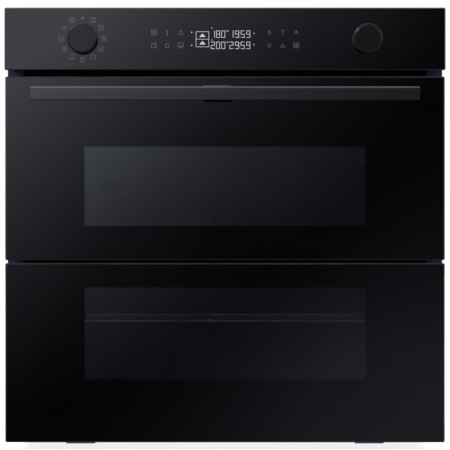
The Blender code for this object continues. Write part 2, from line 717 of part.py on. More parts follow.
def build_lamps_and_sensors():
    for zone, height in LAMP_HEIGHTS.items():
        turned(zone + "_lamp_lens", LAMP_LENS, (LAMP_LENS_X, LAMP_DEPTH, height), (1, 0, 0),
               "clear_glass", steps=16)
        holder = rod(zone + "_lamp_holder", (LAMP_HOLDER_X[0], LAMP_DEPTH, height),
                     (LAMP_HOLDER_X[1], LAMP_DEPTH, height), LAMP_HOLDER_RADIUS, "white_plastic",
                     sides=20)
        well_end, well_radius = BULB_WELL
        carve(holder, rod("bulb_well", (LAMP_HOLDER_X[0] - 3.8, LAMP_DEPTH, height),
                          (well_end, LAMP_DEPTH, height), well_radius, sides=16))
    probe = [(0.0, 0.0), (0.0, SENSOR_RADIUS), (SENSOR_LENGTH, SENSOR_RADIUS),
             (SENSOR_LENGTH, 0.0)]
    for zone, height in SENSOR_HEIGHTS.items():
        sensor = turned(zone + "_temperature_sensor", probe, (SENSOR_X, SENSOR_FRONT, height),
                        (0, 1, 0), "galvanised_steel", steps=10)
        weld(sensor, rod("collar", (SENSOR_X, SENSOR_COLLAR[0], height),
                         (SENSOR_X, SENSOR_COLLAR[1], height), 6.0, sides=12))


# ---------------------------------------------------------------- cooling and electrics

def build_blower():
    floor = SHELF_HEIGHT + SHEET + GAP
    depths, heights, wall = BLOWER_DEPTHS, (floor, BLOWER_TOP), BLOWER_WALL
    housing = box("blower_housing", (-BLOWER_HALF, BLOWER_HALF), depths, heights,
                  "galvanised_steel", corner=12.0, along="X", segments=2)
    carve(housing, box("housing_hollow", (-BLOWER_HALF + wall, BLOWER_HALF - wall),
                       grown(depths, -wall), grown(heights, -wall), corner=10.6, along="X",
                       segments=2))
    mouth = BLOWER_WHEEL_HALF + 3.0
    carve(housing, box("blower_outlet", (-mouth, mouth), (depths[0] - 3.0, depths[0] + 20.0),
                       (DUCT_HEIGHTS[0] + 2.0, DUCT_HEIGHTS[1] - 2.0)))
    carve(housing, box("blower_intake", span(0.0, 300.0), span(BLOWER_DEPTH, 26.0),
                       (heights[1] - 5.0, heights[1] + 3.0)))
    foot_depths = (depths[1] - 20.0, depths[1] + 14.0)
    for side in SIDES.values():
        weld(housing, box("housing_foot", mirrored(side, 120.0, 150.0), foot_depths,
                          (floor - 0.1, floor + 2.5)))
    axis = (BLOWER_DEPTH, BLOWER_HEIGHT)
    carve(housing, rod("shaft_hole", (-BLOWER_HALF - 5.0, *axis), (BLOWER_HALF + 5.0, *axis),
                       BLOWER_SHAFT_RADIUS + 2.0, sides=12))

    ends = (BLOWER_WHEEL_HALF - 1.5, BLOWER_WHEEL_HALF)
    wheel = rod("blower_wheel", (-ends[1], *axis), (-ends[0], *axis), BLOWER_RADIUS, "aluminium",
                sides=16)
    weld(wheel, rod("end_disc", (ends[0], *axis), (ends[1], *axis), BLOWER_RADIUS, sides=16))
    weld(wheel, rod("shaft", (BLOWER_SHAFT_X[0], *axis), (BLOWER_SHAFT_X[1], *axis),
                    BLOWER_SHAFT_RADIUS, sides=10))
    reach = (BLOWER_RADIUS - 9.0, BLOWER_RADIUS - 1.0)
    for index in range(BLOWER_BLADES):
        blade = box("blade", grown((-ends[0], ends[0]), 0.5), span(0.0, 1.0), reach)
        turn = Matrix.Rotation(2 * math.pi * index / BLOWER_BLADES, 4, "X")
        blade.data.transform(Matrix.Translation(to_world(0.0, *axis)) @ turn
                             @ Matrix.Translation(-to_world(0.0, 0.0, 0.0)))
        weld(wheel, blade)
    joint("blower_axis", 0.0, *axis, wheel)

    motor = rod("blower_motor", (BLOWER_MOTOR_X[0], *axis), (BLOWER_MOTOR_X[1], *axis),
                BLOWER_MOTOR_RADIUS, "galvanised_steel", sides=20)
    weld(motor, box("motor_foot", grown(BLOWER_MOTOR_X, -9.0), span(BLOWER_DEPTH, 40.0),
                    (floor, BLOWER_HEIGHT - 18.0)))
    carve(motor, rod("bore", (BLOWER_MOTOR_X[0] - 5.0, *axis), (BLOWER_SHAFT_X[1] + 6.0, *axis),
                     BLOWER_SHAFT_RADIUS + 0.8, sides=10))

    duct_depths = (CASE_FRONT + 0.3, depths[0] - GAP)
    duct = box("air_duct", (-DUCT_HALF, DUCT_HALF), duct_depths, (floor, DUCT_HEIGHTS[1]),
               "galvanised_steel")
    carve(duct, box("duct_hollow", (-DUCT_HALF + 1.0, DUCT_HALF - 1.0), grown(duct_depths, 5.0),
                    (floor + 1.0, DUCT_HEIGHTS[1] - 1.0)))


def build_electrics():
    floor = SHELF_HEIGHT + SHEET + GAP
    board_height = floor + STANDOFF_HEIGHT
    board = box("power_board", POWER_BOARD_X, POWER_BOARD_DEPTHS,
                (board_height, board_height + BOARD_THICKNESS), "circuit_board")
    for x in grown(POWER_BOARD_X, -6.0):
        for depth in grown(POWER_BOARD_DEPTHS, -6.0):
            weld(board, rod("standoff", (x, depth, floor), (x, depth, board_height + 0.5), 3.0,
                            sides=8))
    relays = [(span(x, 20.0), RELAY_DEPTHS, RELAY_HEIGHT) for x in RELAY_X]
    for x, depth, height in (TRANSFORMER, *relays, TERMINAL_ROW):
        weld(board, box("component", x, depth, (board_height + 1.0, board_height + height)))

    size = (TERMINAL_BOX_X, (TERMINAL_BOX_FRONT, CASE_DEPTH - 1.5),
            (floor, floor + TERMINAL_BOX_HEIGHT))
    terminal = box("terminal_box", *size, "black_plastic", corner=3.0)
    carve(terminal, box("terminal_space", *[grown(stretch, -2.0) for stretch in size]))
    carve(terminal, rod("gland", (GLAND_X, CASE_DEPTH - 8.0, GLAND_HEIGHT),
                        (GLAND_X, CASE_DEPTH + 2.0, GLAND_HEIGHT), GLAND_RADIUS))


# ---------------------------------------------------------------- control panel

def build_control_panel():
    glass = box("control_glass", span(0.0, PANEL_WIDTH), (0.0, GLASS),
                (PANEL_BOTTOM, OVERALL_HEIGHT), "black_glass", corner=GLASS_CORNER)
    carrier_x, wall = (-CARRIER_HALF, CARRIER_HALF), CARRIER_WALL
    carrier = box("panel_carrier", carrier_x, (GLASS + GAP, CARRIER_BACK), CARRIER_HEIGHTS,
                  "black_plastic", corner=3.0)
    carve(carrier, box("carrier_hollow", grown(carrier_x, -wall),
                       (GLASS - 2.0, CARRIER_BACK - wall), grown(CARRIER_HEIGHTS, -wall),
                       corner=2.0))
    carve(carrier, box("loom_hole", span(0.0, 100.0), (CARRIER_BACK - 4.0, CARRIER_BACK + 2.0),
                       (535.0, 556.0)))
    box("display_module", DISPLAY_X, (GLASS + 0.6, 12.0), DISPLAY_HEIGHTS, "black_plastic",
        corner=2.0)
    board = box("control_board", span(0.0, 240.0), CONTROL_BOARD_DEPTHS, CONTROL_BOARD_HEIGHTS,
                "circuit_board")
    for x in (-90.0, -50.0, 55.0, 95.0):
        weld(board, box("component", span(x, 18.0), (14.0, 17.0), span(566.0, 12.0)))
    weld(board, box("connector", span(0.0, 60.0), (14.0, 17.2), (541.0, 550.0)))

    for name, side in (("mode", -1), ("value", 1)):
        x = side * KNOB_X
        carve(glass, rod("shaft_hole", (x, -2.0, KNOB_HEIGHT), (x, GLASS + 2.0, KNOB_HEIGHT),
                         KNOB_STEM_RADIUS + 1.2))
        encoder = box(name + "_encoder", span(x, ENCODER_SIZE), (5.0, CARRIER_BACK - 2.3),
                      span(KNOB_HEIGHT, ENCODER_SIZE), "white_plastic", corner=2.0)
        carve(encoder, rod("stem_bore", (x, 2.0, KNOB_HEIGHT),
                           (x, KNOB_STEM_END + 1.0, KNOB_HEIGHT), KNOB_STEM_RADIUS + 0.5,
                           sides=12))
        length = KNOB_BACK - KNOB_FRONT
        stem = KNOB_STEM_END - KNOB_FRONT
        profile = [(0.0, 0.0), (0.0, KNOB_RADIUS - 2.0), (0.8, KNOB_RADIUS - 0.6),
                   (2.4, KNOB_RADIUS), (length, KNOB_RADIUS), (length, KNOB_STEM_RADIUS),
                   (stem, KNOB_STEM_RADIUS), (stem, 0.0)]
        knob = turned(name + "_knob", profile, (0.0, 0.0, 0.0), (0, 1, 0), "dark_aluminium",
                      steps=28)
        knob.matrix_world = (Matrix.Translation(to_world(x, KNOB_FRONT, KNOB_HEIGHT))
                             @ knob.matrix_world.to_3x3().to_4x4())


# ---------------------------------------------------------------- doors

def channel_ring(piece, outer_x, outer_z, front, windows):
    """Hollows a piece from the front into a channel that runs round its windows."""
    hollow = box("channel", grown(outer_x, -SHEET), (front - 2.0, DOOR_FRAME_BACK - SHEET),
                 grown(outer_z, -SHEET))
    for x, z in windows:
        through = (front - 5.0, DOOR_FRAME_BACK + 5.0)
        carve(hollow, box("channel_wall", grown(x, SHEET), through, grown(z, SHEET)))
        carve(piece, box("window", x, through, z))
    carve(piece, hollow)


def build_doors():
    frame_x = (-DOOR_FRAME_HALF, DOOR_FRAME_HALF)
    depths = (DOOR_FRAME_FRONT, DOOR_FRAME_BACK)
    frame = box("door_frame", frame_x, depths, DOOR_FRAME_HEIGHTS, "dark_steel")
    windows = [((-WINDOW_HALF, WINDOW_HALF), LOWER_WINDOW),
               ((-UPPER_BAY_HALF, UPPER_BAY_HALF), UPPER_BAY)]
    channel_ring(frame, frame_x, DOOR_FRAME_HEIGHTS, DOOR_FRAME_FRONT, windows)
    box("lower_outer_glass", span(0.0, DOOR_WIDTH), (0.0, GLASS), LOWER_DOOR, "black_glass",
        corner=GLASS_CORNER)
    half, heights = LOWER_INNER_GLASS
    box("lower_inner_glass", (-half, half), INNER_GLASS, heights, "clear_glass", corner=4.0)

    upper_x, front = (-UPPER_FRAME_HALF, UPPER_FRAME_HALF), GLASS + GAP
    upper = box("upper_door_frame", upper_x, (front, DOOR_FRAME_BACK), UPPER_FRAME_HEIGHTS,
                "dark_steel")
    channel_ring(upper, upper_x, UPPER_FRAME_HEIGHTS, front,
                 [((-WINDOW_HALF, WINDOW_HALF), UPPER_WINDOW)])
    upper_glass = box("upper_outer_glass", span(0.0, DOOR_WIDTH), (0.0, GLASS), UPPER_DOOR,
                      "black_glass", corner=GLASS_CORNER)
    half, heights = UPPER_INNER_GLASS
    box("upper_inner_glass", (-half, half), INNER_GLASS, heights, "clear_glass", corner=4.0)

    for name, side in SIDES.items():
        pivot = UPPER_PIVOT
        weld(frame, rod(name + "_upper_pin", (side * UPPER_PIN_X, *pivot),
                        (side * (UPPER_BAY_HALF + SHEET), *pivot), UPPER_PIN_RADIUS))
        carve(upper, rod(name + "_pin_bore", (side * (UPPER_PIN_X + 1.0), *pivot),
                         (side * (UPPER_PIN_X + 6.0), *pivot), UPPER_PIN_RADIUS + 0.5))
        carve(frame, box(name + "_swing_notch", mirrored(side, 249.0, 271.0),
                         (DOOR_FRAME_FRONT - 2.0, 19.0), (249.4, 258.0)))
        for piece, reach, margin in ((upper, (244.0, 249.0), 1.0), (frame, (248.0, 253.0), 1.5)):
            half = LATCH_HALF + margin
            carve(piece, box(name + "_latch_hole", mirrored(side, *reach),
                             span(LATCH_DEPTH, 2 * half), span(LATCH_HEIGHT, 2 * half)))
    build_hinges()
    build_handle(upper_glass)


def build_hinges():
    depth, height = DOOR_PIVOT
    arm_heights, arm_back = HINGE_ARM_HEIGHTS, HINGE_ARM_BACK
    for name, side in SIDES.items():
        x = side * HINGE_X
        across = span(x, HINGE_ARM_WIDTH)
        arm = box(name + "_hinge_arm", across, (depth, arm_back), arm_heights, "galvanised_steel")
        weld(arm, rod("eye", (across[0], depth, height), (across[1], depth, height),
                      HINGE_EYE_RADIUS, sides=24))
        weld(arm, box("foot", span(x, 22.0), (62.0, arm_back),
                      (RUNNER_HEIGHT + SHEET + GAP, arm_heights[0] + 0.8)))
        carve(arm, rod("eye_bore", (across[0] - 2.0, depth, height),
                       (across[1] + 2.0, depth, height), PIN_RADIUS + 0.4))
        body = box(name + "_hinge_body", span(x, 13.0), (8.0, 33.0), (27.2, 29.7),
                   "galvanised_steel")
        for cheek in (-1, 1):
            weld(body, box("cheek", span(x + cheek * 5.0, 3.0), (4.6, 19.4), (12.0, 28.0)))
        weld(body, rod("hinge_pin", (x - 6.4, depth, height), (x + 6.4, depth, height),
                       PIN_RADIUS))


def build_handle(upper_glass):
    middle = sum(HANDLE_HEIGHTS) / 2
    front = -HANDLE_REACH
    back = front + HANDLE_THICKNESS
    bar = box("handle_bar", (-HANDLE_HALF, HANDLE_HALF), (front, back), HANDLE_HEIGHTS,
              "dark_aluminium")
    edge = bar.modifiers.new("edge", "BEVEL")
    edge.width = HANDLE_EDGE * MM
    edge.segments = 2
    shade_round(bar)
    post_depths = (back + GAP, -GAP)
    heights = span(middle, 2 * POST_HALF_HEIGHT)
    for name, side in SIDES.items():
        post = box(name + "_handle_post", mirrored(side, *POST_X), post_depths, heights,
                   "dark_aluminium", corner=1.0)
        stud_x = side * STUD_X
        weld(post, rod("stud", (stud_x, -2.0, middle), (stud_x, STUD_END, middle), STUD_RADIUS))
        carve(upper_glass, rod("stud_hole", (stud_x, -2.0, middle), (stud_x, GLASS + 2.0, middle),
                               STUD_RADIUS + 0.8))
    lever = box("door_lever", span(LEVER_X, 2 * LEVER_HALF), (back + 0.5, back + 9.0),
                LEVER_HEIGHTS, "dark_aluminium", corner=2.0, along="X")
    weld(lever, box("lever_stem", span(LEVER_X, LEVER_STEM_WIDTH), (back + 8.0, LEVER_STEM_END),
                    LEVER_STEM_HEIGHTS))
    slot_heights = (LEVER_STEM_HEIGHTS[0] - LEVER_TRAVEL - 1.5, LEVER_STEM_HEIGHTS[1] + 1.5)
    carve(upper_glass, box("lever_slot", span(LEVER_X, LEVER_STEM_WIDTH + 3.0),
                           (-2.0, GLASS + 2.0), slot_heights))
    joint("lever_axis", LEVER_X, back, LEVER_HEIGHTS[0], lever)
    for name, side in SIDES.items():
        bolt = box(name + "_latch_bolt", mirrored(side, *LATCH_X),
                   span(LATCH_DEPTH, 2 * LATCH_HALF), span(LATCH_HEIGHT, 2 * LATCH_HALF),
                   "galvanised_steel")
        weld(bolt, rod("latch_rod", (side * LATCH_ROD_START, LATCH_DEPTH, LATCH_HEIGHT),
                       (side * (LATCH_X[0] + 1.2), LATCH_DEPTH, LATCH_HEIGHT), LATCH_ROD_RADIUS,
                       sides=8))


def hang_doors():
    """Puts the door pieces on empties at their hinges, the upper door on the lower one."""
    names = bpy.data.objects
    door = joint("door_axis", 0.0, *DOOR_PIVOT)
    for name in ("door_frame", "lower_outer_glass", "lower_inner_glass", "left_hinge_body",
                 "right_hinge_body"):
        carry(door, names[name])
    upper = joint("upper_door_axis", 0.0, *UPPER_PIVOT)
    for name in ("upper_door_frame", "upper_outer_glass", "upper_inner_glass", "handle_bar",
                 "left_handle_post", "right_handle_post", "left_latch_bolt", "right_latch_bolt",
                 "lever_axis"):
        carry(upper, names[name])
    carry(door, upper)


build_base_plate()
build_case_panels()
build_service_shelf()
build_front_frame()
build_cavity()
build_elements()
build_fans()
build_side_racks()
build_wire_rack()
build_divider()
build_lamps_and_sensors()
build_blower()
build_electrics()
build_control_panel()
build_doors()
hang_doors()
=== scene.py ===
"""Looks of the wall oven: glass fronts, handle, knobs, cavity, case and studio.

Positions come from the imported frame, and all lengths are in metres.
"""
import itertools
import json
import math

import bmesh
import bpy
from mathutils import Matrix, Vector


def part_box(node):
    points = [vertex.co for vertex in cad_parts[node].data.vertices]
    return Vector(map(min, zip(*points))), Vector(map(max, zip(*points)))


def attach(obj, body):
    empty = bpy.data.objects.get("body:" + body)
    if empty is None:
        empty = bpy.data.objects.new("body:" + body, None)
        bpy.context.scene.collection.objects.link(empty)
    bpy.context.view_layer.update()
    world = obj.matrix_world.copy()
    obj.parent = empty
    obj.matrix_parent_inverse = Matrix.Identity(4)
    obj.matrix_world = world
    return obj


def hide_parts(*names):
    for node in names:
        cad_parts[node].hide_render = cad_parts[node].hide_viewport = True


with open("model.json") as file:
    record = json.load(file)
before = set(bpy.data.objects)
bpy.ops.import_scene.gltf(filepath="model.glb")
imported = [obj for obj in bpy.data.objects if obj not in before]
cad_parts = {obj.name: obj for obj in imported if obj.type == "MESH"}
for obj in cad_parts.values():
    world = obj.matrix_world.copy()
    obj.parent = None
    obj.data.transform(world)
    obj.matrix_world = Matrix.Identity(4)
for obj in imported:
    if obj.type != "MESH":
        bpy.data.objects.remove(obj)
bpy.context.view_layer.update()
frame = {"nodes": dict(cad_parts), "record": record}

MM = 0.001


def box_of(node):
    low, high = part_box(node)
    return Vector(low), Vector(high)


def middle_of(low, high):
    return (low + high) / 2


def ends_of(low, high, inset):
    """The two places of a span that lie inset from its ends."""
    return low + inset, high - inset


# ---- materials

class Tree:
    """The nodes of a material or world. An input given as a socket is linked, others are set."""

    def __init__(self, owner):
        owner.use_nodes = True
        self.owner = owner
        self.nodes, self.links = owner.node_tree.nodes, owner.node_tree.links

    def put(self, node, inputs):
        for name, value in inputs.items():
            if isinstance(value, bpy.types.NodeSocket):
                self.links.new(value, node.inputs[name])
            else:
                node.inputs[name].default_value = value
        return node

    def add(self, kind, inputs, **settings):
        node = self.nodes.new("ShaderNode" + kind)
        for name, value in settings.items():
            setattr(node, name, value)
        return self.put(node, inputs)

    def finish(self, **inputs):
        """Sets the shader's inputs, named with _ for each space, and returns the material."""
        self.put(self.nodes["Principled BSDF"],
                 {name.replace("_", " "): value for name, value in inputs.items()})
        return self.owner

    def coordinates(self, stretch=(1.0, 1.0, 1.0)):
        """Object coordinates in metres, times stretch."""
        where = self.add("TexCoord", {}).outputs["Object"]
        return self.add("Mapping", {"Vector": where, "Scale": stretch}).outputs["Vector"]

    def noise(self, scale, stretch=(1.0, 1.0, 1.0), detail=4.0, roughness=0.55):
        return self.add("TexNoise", {"Vector": self.coordinates(stretch), "Scale": scale,
                                     "Detail": detail, "Roughness": roughness}).outputs["Fac"]

    def ramp(self, factor, low, high, start=0.3, end=0.7):
        """Spreads a factor between two colours or two values."""
        node = self.add("ValToRGB", {"Fac": factor})
        for element, place, value in zip(node.color_ramp.elements, (start, end), (low, high)):
            element.position = place
            element.color = (*(value if isinstance(value, tuple) else (value,) * 3), 1.0)
        return node.outputs["Color"]

    def mix(self, factor, first, second, blend_type="MIX"):
        return self.add("MixRGB", {"Fac": factor, "Color1": first, "Color2": second},
                        blend_type=blend_type).outputs["Color"]

    def scaled(self, colour, factor):
        return self.add("VectorMath", {0: colour, "Scale": factor}, operation="SCALE").outputs[0]

    def bump(self, height, strength, distance):
        return self.add("Bump", {"Height": height, "Strength": strength,
                                 "Distance": distance}).outputs["Normal"]


def new_material(name):
    return Tree(bpy.data.materials.new(name))


def tinted(colour, factor):
    return tuple(min(1.0, channel * factor) for channel in colour)


def worn_surface(name, colour, roughness, metallic=0.0, grain=(1.0, 1.0, 1.0), grain_scale=600.0,
                 grain_depth=0.00003, variation=0.12, roughness_spread=0.06, specular=0.5,
                 ior=1.5):
    """A surface with broad colour drift, fine grain that may be stretched, and uneven gloss."""
    tree = new_material(name)
    drift = tree.noise(9.0)
    fine = tree.noise(grain_scale, grain, detail=3.0)
    return tree.finish(
        Base_Color=tree.ramp(drift, tinted(colour, 1.0 - variation),
                             tinted(colour, 1.0 + variation)),
        Metallic=metallic, Specular_IOR_Level=specular, IOR=ior,
        Roughness=tree.ramp(fine, roughness - roughness_spread, roughness + roughness_spread),
        Normal=tree.bump(fine, 0.25, grain_depth))


def zinc_sheet():
    """Zinc-coated steel: a faint frost of crystals over rolled sheet, a little dulled."""
    tree = new_material("zinc_sheet")
    even = tree.coordinates()
    swirl = tree.add("TexNoise", {"Vector": even, "Scale": 45.0}).outputs["Color"]
    warped = tree.add("VectorMath", {0: swirl, 1: (0.012, 0.012, 0.012), 2: even},
                      operation="MULTIPLY_ADD").outputs[0]
    frost = tree.add("TexVoronoi", {"Vector": warped, "Scale": 95.0}).outputs["Color"]
    grey = tree.ramp(frost, (0.47, 0.48, 0.495), (0.53, 0.54, 0.555), 0.1, 0.9)
    stain = tree.ramp(tree.noise(5.0), 0.93, 1.0, 0.3, 0.6)
    rolled = tree.noise(1.0, (260.0, 9.0, 260.0))
    return tree.finish(Base_Color=tree.mix(1.0, grey, stain, "MULTIPLY"), Metallic=1.0,
                       Roughness=tree.ramp(frost, 0.30, 0.40, 0.1, 0.9),
                       Normal=tree.bump(rolled, 0.10, 0.00004))


def speckled_enamel():
    """Dark grey pyrolytic enamel with fine pale flecks."""
    tree = new_material("speckled_enamel")
    flecks = tree.add("TexVoronoi", {"Vector": tree.coordinates(), "Scale": 420.0})
    return tree.finish(
        Base_Color=tree.ramp(flecks.outputs["Distance"], (0.30, 0.32, 0.34),
                             (0.030, 0.033, 0.037), 0.10, 0.17),
        Roughness=tree.ramp(tree.noise(14.0), 0.22, 0.40),
        Normal=tree.bump(tree.noise(160.0), 0.25, 0.0001))


def frame_enamel():
    """Navy enamel on the front flange, with painted shade: it turns near black where it sits back
    behind the doors.
    """
    tree = new_material("navy_enamel")
    navy = tree.ramp(tree.noise(9.0), (0.021, 0.032, 0.072), (0.028, 0.041, 0.092))
    front = box_of("front_frame")[0].y
    depth = tree.add("SeparateXYZ", {0: tree.coordinates()}).outputs["Y"]
    recess_shade_mask = tree.add("MapRange", {"Value": depth, "From Min": front + 2.0 * MM,
                                   "From Max": front + 3.0 * MM})
    fine = tree.noise(350.0)
    return tree.finish(
        # Painted shade: from 2 to 3 mm behind the front, the navy gives way to near black, the
        # shade of the recess.
        Base_Color=tree.mix(recess_shade_mask.outputs[0], navy, (0.0012, 0.0012, 0.0014, 1.0)),
        Roughness=tree.ramp(fine, 0.45, 0.60), Specular_IOR_Level=0.2,
        Normal=tree.bump(fine, 0.25, 0.00006))


def print_glass():
    """Black ceramic print seen through polished float glass, with faint wipe marks."""
    tree = new_material("black_print_glass")
    wipes = tree.noise(5.0, (3.0, 3.0, 14.0), detail=6.0)
    return tree.finish(
        Base_Color=tree.ramp(tree.noise(4.0), (0.0001, 0.0001, 0.00013),
                             (0.0002, 0.00021, 0.00026)),
        Roughness=tree.ramp(wipes, 0.02, 0.06), IOR=1.52,
        Normal=tree.bump(tree.noise(3.0), 0.05, 0.0002))


def clear_glass(name, tint, roughness=0.0, ior=1.5):
    """Real glass that light goes through, with a tint and a trace of uneven gloss."""
    tree = new_material(name)
    return tree.finish(Base_Color=tree.ramp(tree.noise(5.0), tinted(tint, 0.96), tint),
                       Transmission_Weight=1.0, IOR=ior,
                       Roughness=tree.ramp(tree.noise(25.0), roughness, roughness + 0.004))


def wool():
    """Yellow-brown mineral wool with matted fibres."""
    tree = new_material("mineral_wool")
    fibres = tree.noise(260.0, (1.0, 1.0, 6.0), detail=8.0, roughness=0.75)
    return tree.finish(Base_Color=tree.ramp(fibres, (0.36, 0.31, 0.17), (0.68, 0.62, 0.42)),
                       Roughness=0.95, Normal=tree.bump(fibres, 0.9, 0.0015))


def circuit_board():
    """Green board with paler copper tracks under the lacquer."""
    tree = new_material("circuit_board")
    tracks = tree.add("TexBrick", {
        "Vector": tree.coordinates(), "Scale": 160.0, "Mortar Size": 0.03,
        "Color1": (0.008, 0.085, 0.035, 1.0), "Color2": (0.010, 0.11, 0.045, 1.0),
        "Mortar": (0.03, 0.19, 0.08, 1.0)}).outputs
    return tree.finish(Base_Color=tracks["Color"], Roughness=0.45,
                       Normal=tree.bump(tracks["Fac"], 0.3, 0.0001))


def glowing_print(name, colour, strength):
    """Printed or lit marks behind the glass: softly uneven, with light of their own; for the
    display it is its own light, for the printed pictograms a painted glow.
    """
    tree = new_material(name)
    shade = tree.ramp(tree.noise(220.0), tinted(colour, 0.85), colour)
    return tree.finish(Base_Color=shade, Roughness=0.6, Emission_Color=shade,
                       Emission_Strength=strength)


NAVY = frame_enamel()
ENAMEL = speckled_enamel()
ZINC = zinc_sheet()
PRINT = print_glass()
EDGE_GLASS = worn_surface("ground_glass_edge", (0.030, 0.0305, 0.034), 0.12, grain_scale=900.0,
                          grain_depth=0.00001, specular=0.6)
WINDOW_GLASS = clear_glass("tinted_window_glass", (0.50, 0.505, 0.53))
MIDDLE_GLASS = clear_glass("heat_glass", (0.64, 0.645, 0.66), ior=1.62)
PANE_GLASS = clear_glass("coated_inner_glass", (0.86, 0.88, 0.90))
LENS_GLASS = clear_glass("lamp_glass", (0.93, 0.95, 0.95), 0.06)
BRUSHED_BAR = worn_surface("dark_brushed_bar", (0.009, 0.0092, 0.0105), 0.11,
                           grain=(2.0, 260.0, 260.0), grain_scale=9.0, grain_depth=0.000004,
                           variation=0.06, roughness_spread=0.03, ior=1.66)
TURNED_METAL = worn_surface("dark_turned_metal", (0.0035, 0.0035, 0.0040), 0.12,
                            grain_scale=500.0, grain_depth=0.000003, variation=0.08, ior=1.42)
RIM_METAL = worn_surface("polished_rim", (0.022, 0.0225, 0.026), 0.22, grain_scale=500.0,
                         grain_depth=0.00001, ior=1.66)
DARK_FRAME = worn_surface("satin_black_frame", (0.005, 0.005, 0.0055), 0.5, variation=0.15,
                          specular=0.12)
CHROME = worn_surface("chrome_wire", (0.52, 0.525, 0.54), 0.24, 0.95, grain_scale=300.0,
                      grain_depth=0.000002, variation=0.03, roughness_spread=0.012)
SHEATH = worn_surface("heated_sheath", (0.13, 0.105, 0.09), 0.52, 0.9, grain_scale=420.0,
                      variation=0.35)
ALUMINIUM = worn_surface("satin_aluminium", (0.56, 0.57, 0.58), 0.34, 1.0)
BLACK_PLASTIC = worn_surface("black_plastic", (0.012, 0.012, 0.013), 0.48, grain_scale=900.0,
                             grain_depth=0.00008)
WHITE_PLASTIC = worn_surface("white_ceramic", (0.60, 0.60, 0.56), 0.45, grain_scale=500.0)
RUBBER = worn_surface("seal_rubber", (0.006, 0.006, 0.0065), 0.72, grain_scale=800.0,
                      grain_depth=0.0001, specular=0.3)
STEEL_SCREW = worn_surface("screw_steel", (0.42, 0.42, 0.43), 0.32, 1.0, grain_scale=700.0)
WOOL = wool()
BOARD = circuit_board()
# Painted glow: the printed pictograms emit light though they are no lamp.
ICONS = glowing_print("icon_print_painted_glow", (0.10, 0.10, 0.11), 1.0)
DIGITS = glowing_print("display_light", (0.45, 0.46, 0.48), 0.75)

NODE_MATERIALS = {"upper_lamp_lens": LENS_GLASS, "lower_lamp_lens": LENS_GLASS,
                  "upper_fan_wheel": SHEATH, "lower_fan_wheel": SHEATH}
SLOT_MATERIALS = {"navy_enamel": NAVY, "grey_enamel": ENAMEL, "galvanised_steel": ZINC,
                  "black_glass": PRINT, "clear_glass": PANE_GLASS, "dark_steel": DARK_FRAME,
                  "dark_aluminium": BRUSHED_BAR, "chrome_wire": CHROME, "element_steel": SHEATH,
                  "aluminium": ALUMINIUM, "black_plastic": BLACK_PLASTIC,
                  "white_plastic": WHITE_PLASTIC, "circuit_board": BOARD, "mineral_wool": WOOL,
                  "seal_rubber": RUBBER}


def dress_frame():
    """Every CAD node that stays in view takes the procedural material of its record slot."""
    for part in frame["record"]["subparts"]:
        node = frame["nodes"][part["node"]]
        made = NODE_MATERIALS.get(part["node"], SLOT_MATERIALS[part["material_slot"]])
        if not node.data.materials:
            node.data.materials.append(made)
        for index in range(len(node.data.materials)):
            node.data.materials[index] = made


# ---- shapes

SHARP_ANGLE = math.radians(32)


def new_object(name, shape, materials):
    """Turns a bmesh into an object of the scene."""
    mesh = bpy.data.meshes.new(name)
    shape.to_mesh(mesh)
    shape.free()
    for material in materials:
        mesh.materials.append(material)
    made = bpy.data.objects.new(name, mesh)
    bpy.context.scene.collection.objects.link(made)
    return made


def finish_piece(name, shape, made, body, nodes=(), smooth=True):
    """Turns a bmesh into a piece that rides on a body and stands for the given CAD nodes."""
    piece = new_object(name, shape, made if isinstance(made, list) else [made])
    if smooth:
        piece.data.shade_smooth()
        piece.data.set_sharp_from_angle(angle=SHARP_ANGLE)
        piece.modifiers.new("even_normals", "WEIGHTED_NORMAL").keep_sharp = True
    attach(piece, body)
    if nodes:
        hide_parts(*nodes)
    return piece


def soften(part, edges, width, segments=2):
    bmesh.ops.bevel(part, geom=list(edges), offset=width, segments=segments, profile=0.5,
                    affect="EDGES")


def merge_into(shape, part):
    mesh = bpy.data.meshes.new("part")
    part.to_mesh(mesh)
    part.free()
    shape.from_mesh(mesh)
    bpy.data.meshes.remove(mesh)


def arc(centre, radius, start, end, steps=14):
    """Points along an arc, from one angle in degrees to another."""
    angles = [math.radians(start + (end - start) * step / steps) for step in range(steps + 1)]
    return [(centre[0] + radius * math.cos(angle), centre[1] + radius * math.sin(angle))
            for angle in angles]


def circle(radius, steps):
    return arc((0.0, 0.0), radius, 0, 360, steps)[:-1]


def join(part, first, second, material=0):
    """Adds the faces between two closed loops of as many points."""
    for index in range(len(first)):
        after = (index + 1) % len(first)
        face = part.faces.new((first[index], first[after], second[after], second[index]))
        face.material_index = material


def add_block(shape, low, high, bevel=0.0, segments=2, material=0, turn=None):
    """Adds a box with rounded edges to a bmesh, turned about its own middle."""
    low, high = Vector(low), Vector(high)
    part = bmesh.new()
    bmesh.ops.create_cube(part, size=1.0)
    bmesh.ops.scale(part, vec=high - low, verts=part.verts)
    if bevel:
        soften(part, part.edges, bevel, segments)
    if turn is not None:
        bmesh.ops.transform(part, matrix=turn, verts=part.verts)
    bmesh.ops.translate(part, vec=middle_of(low, high), verts=part.verts)
    for face in part.faces:
        face.material_index = material
    merge_into(shape, part)


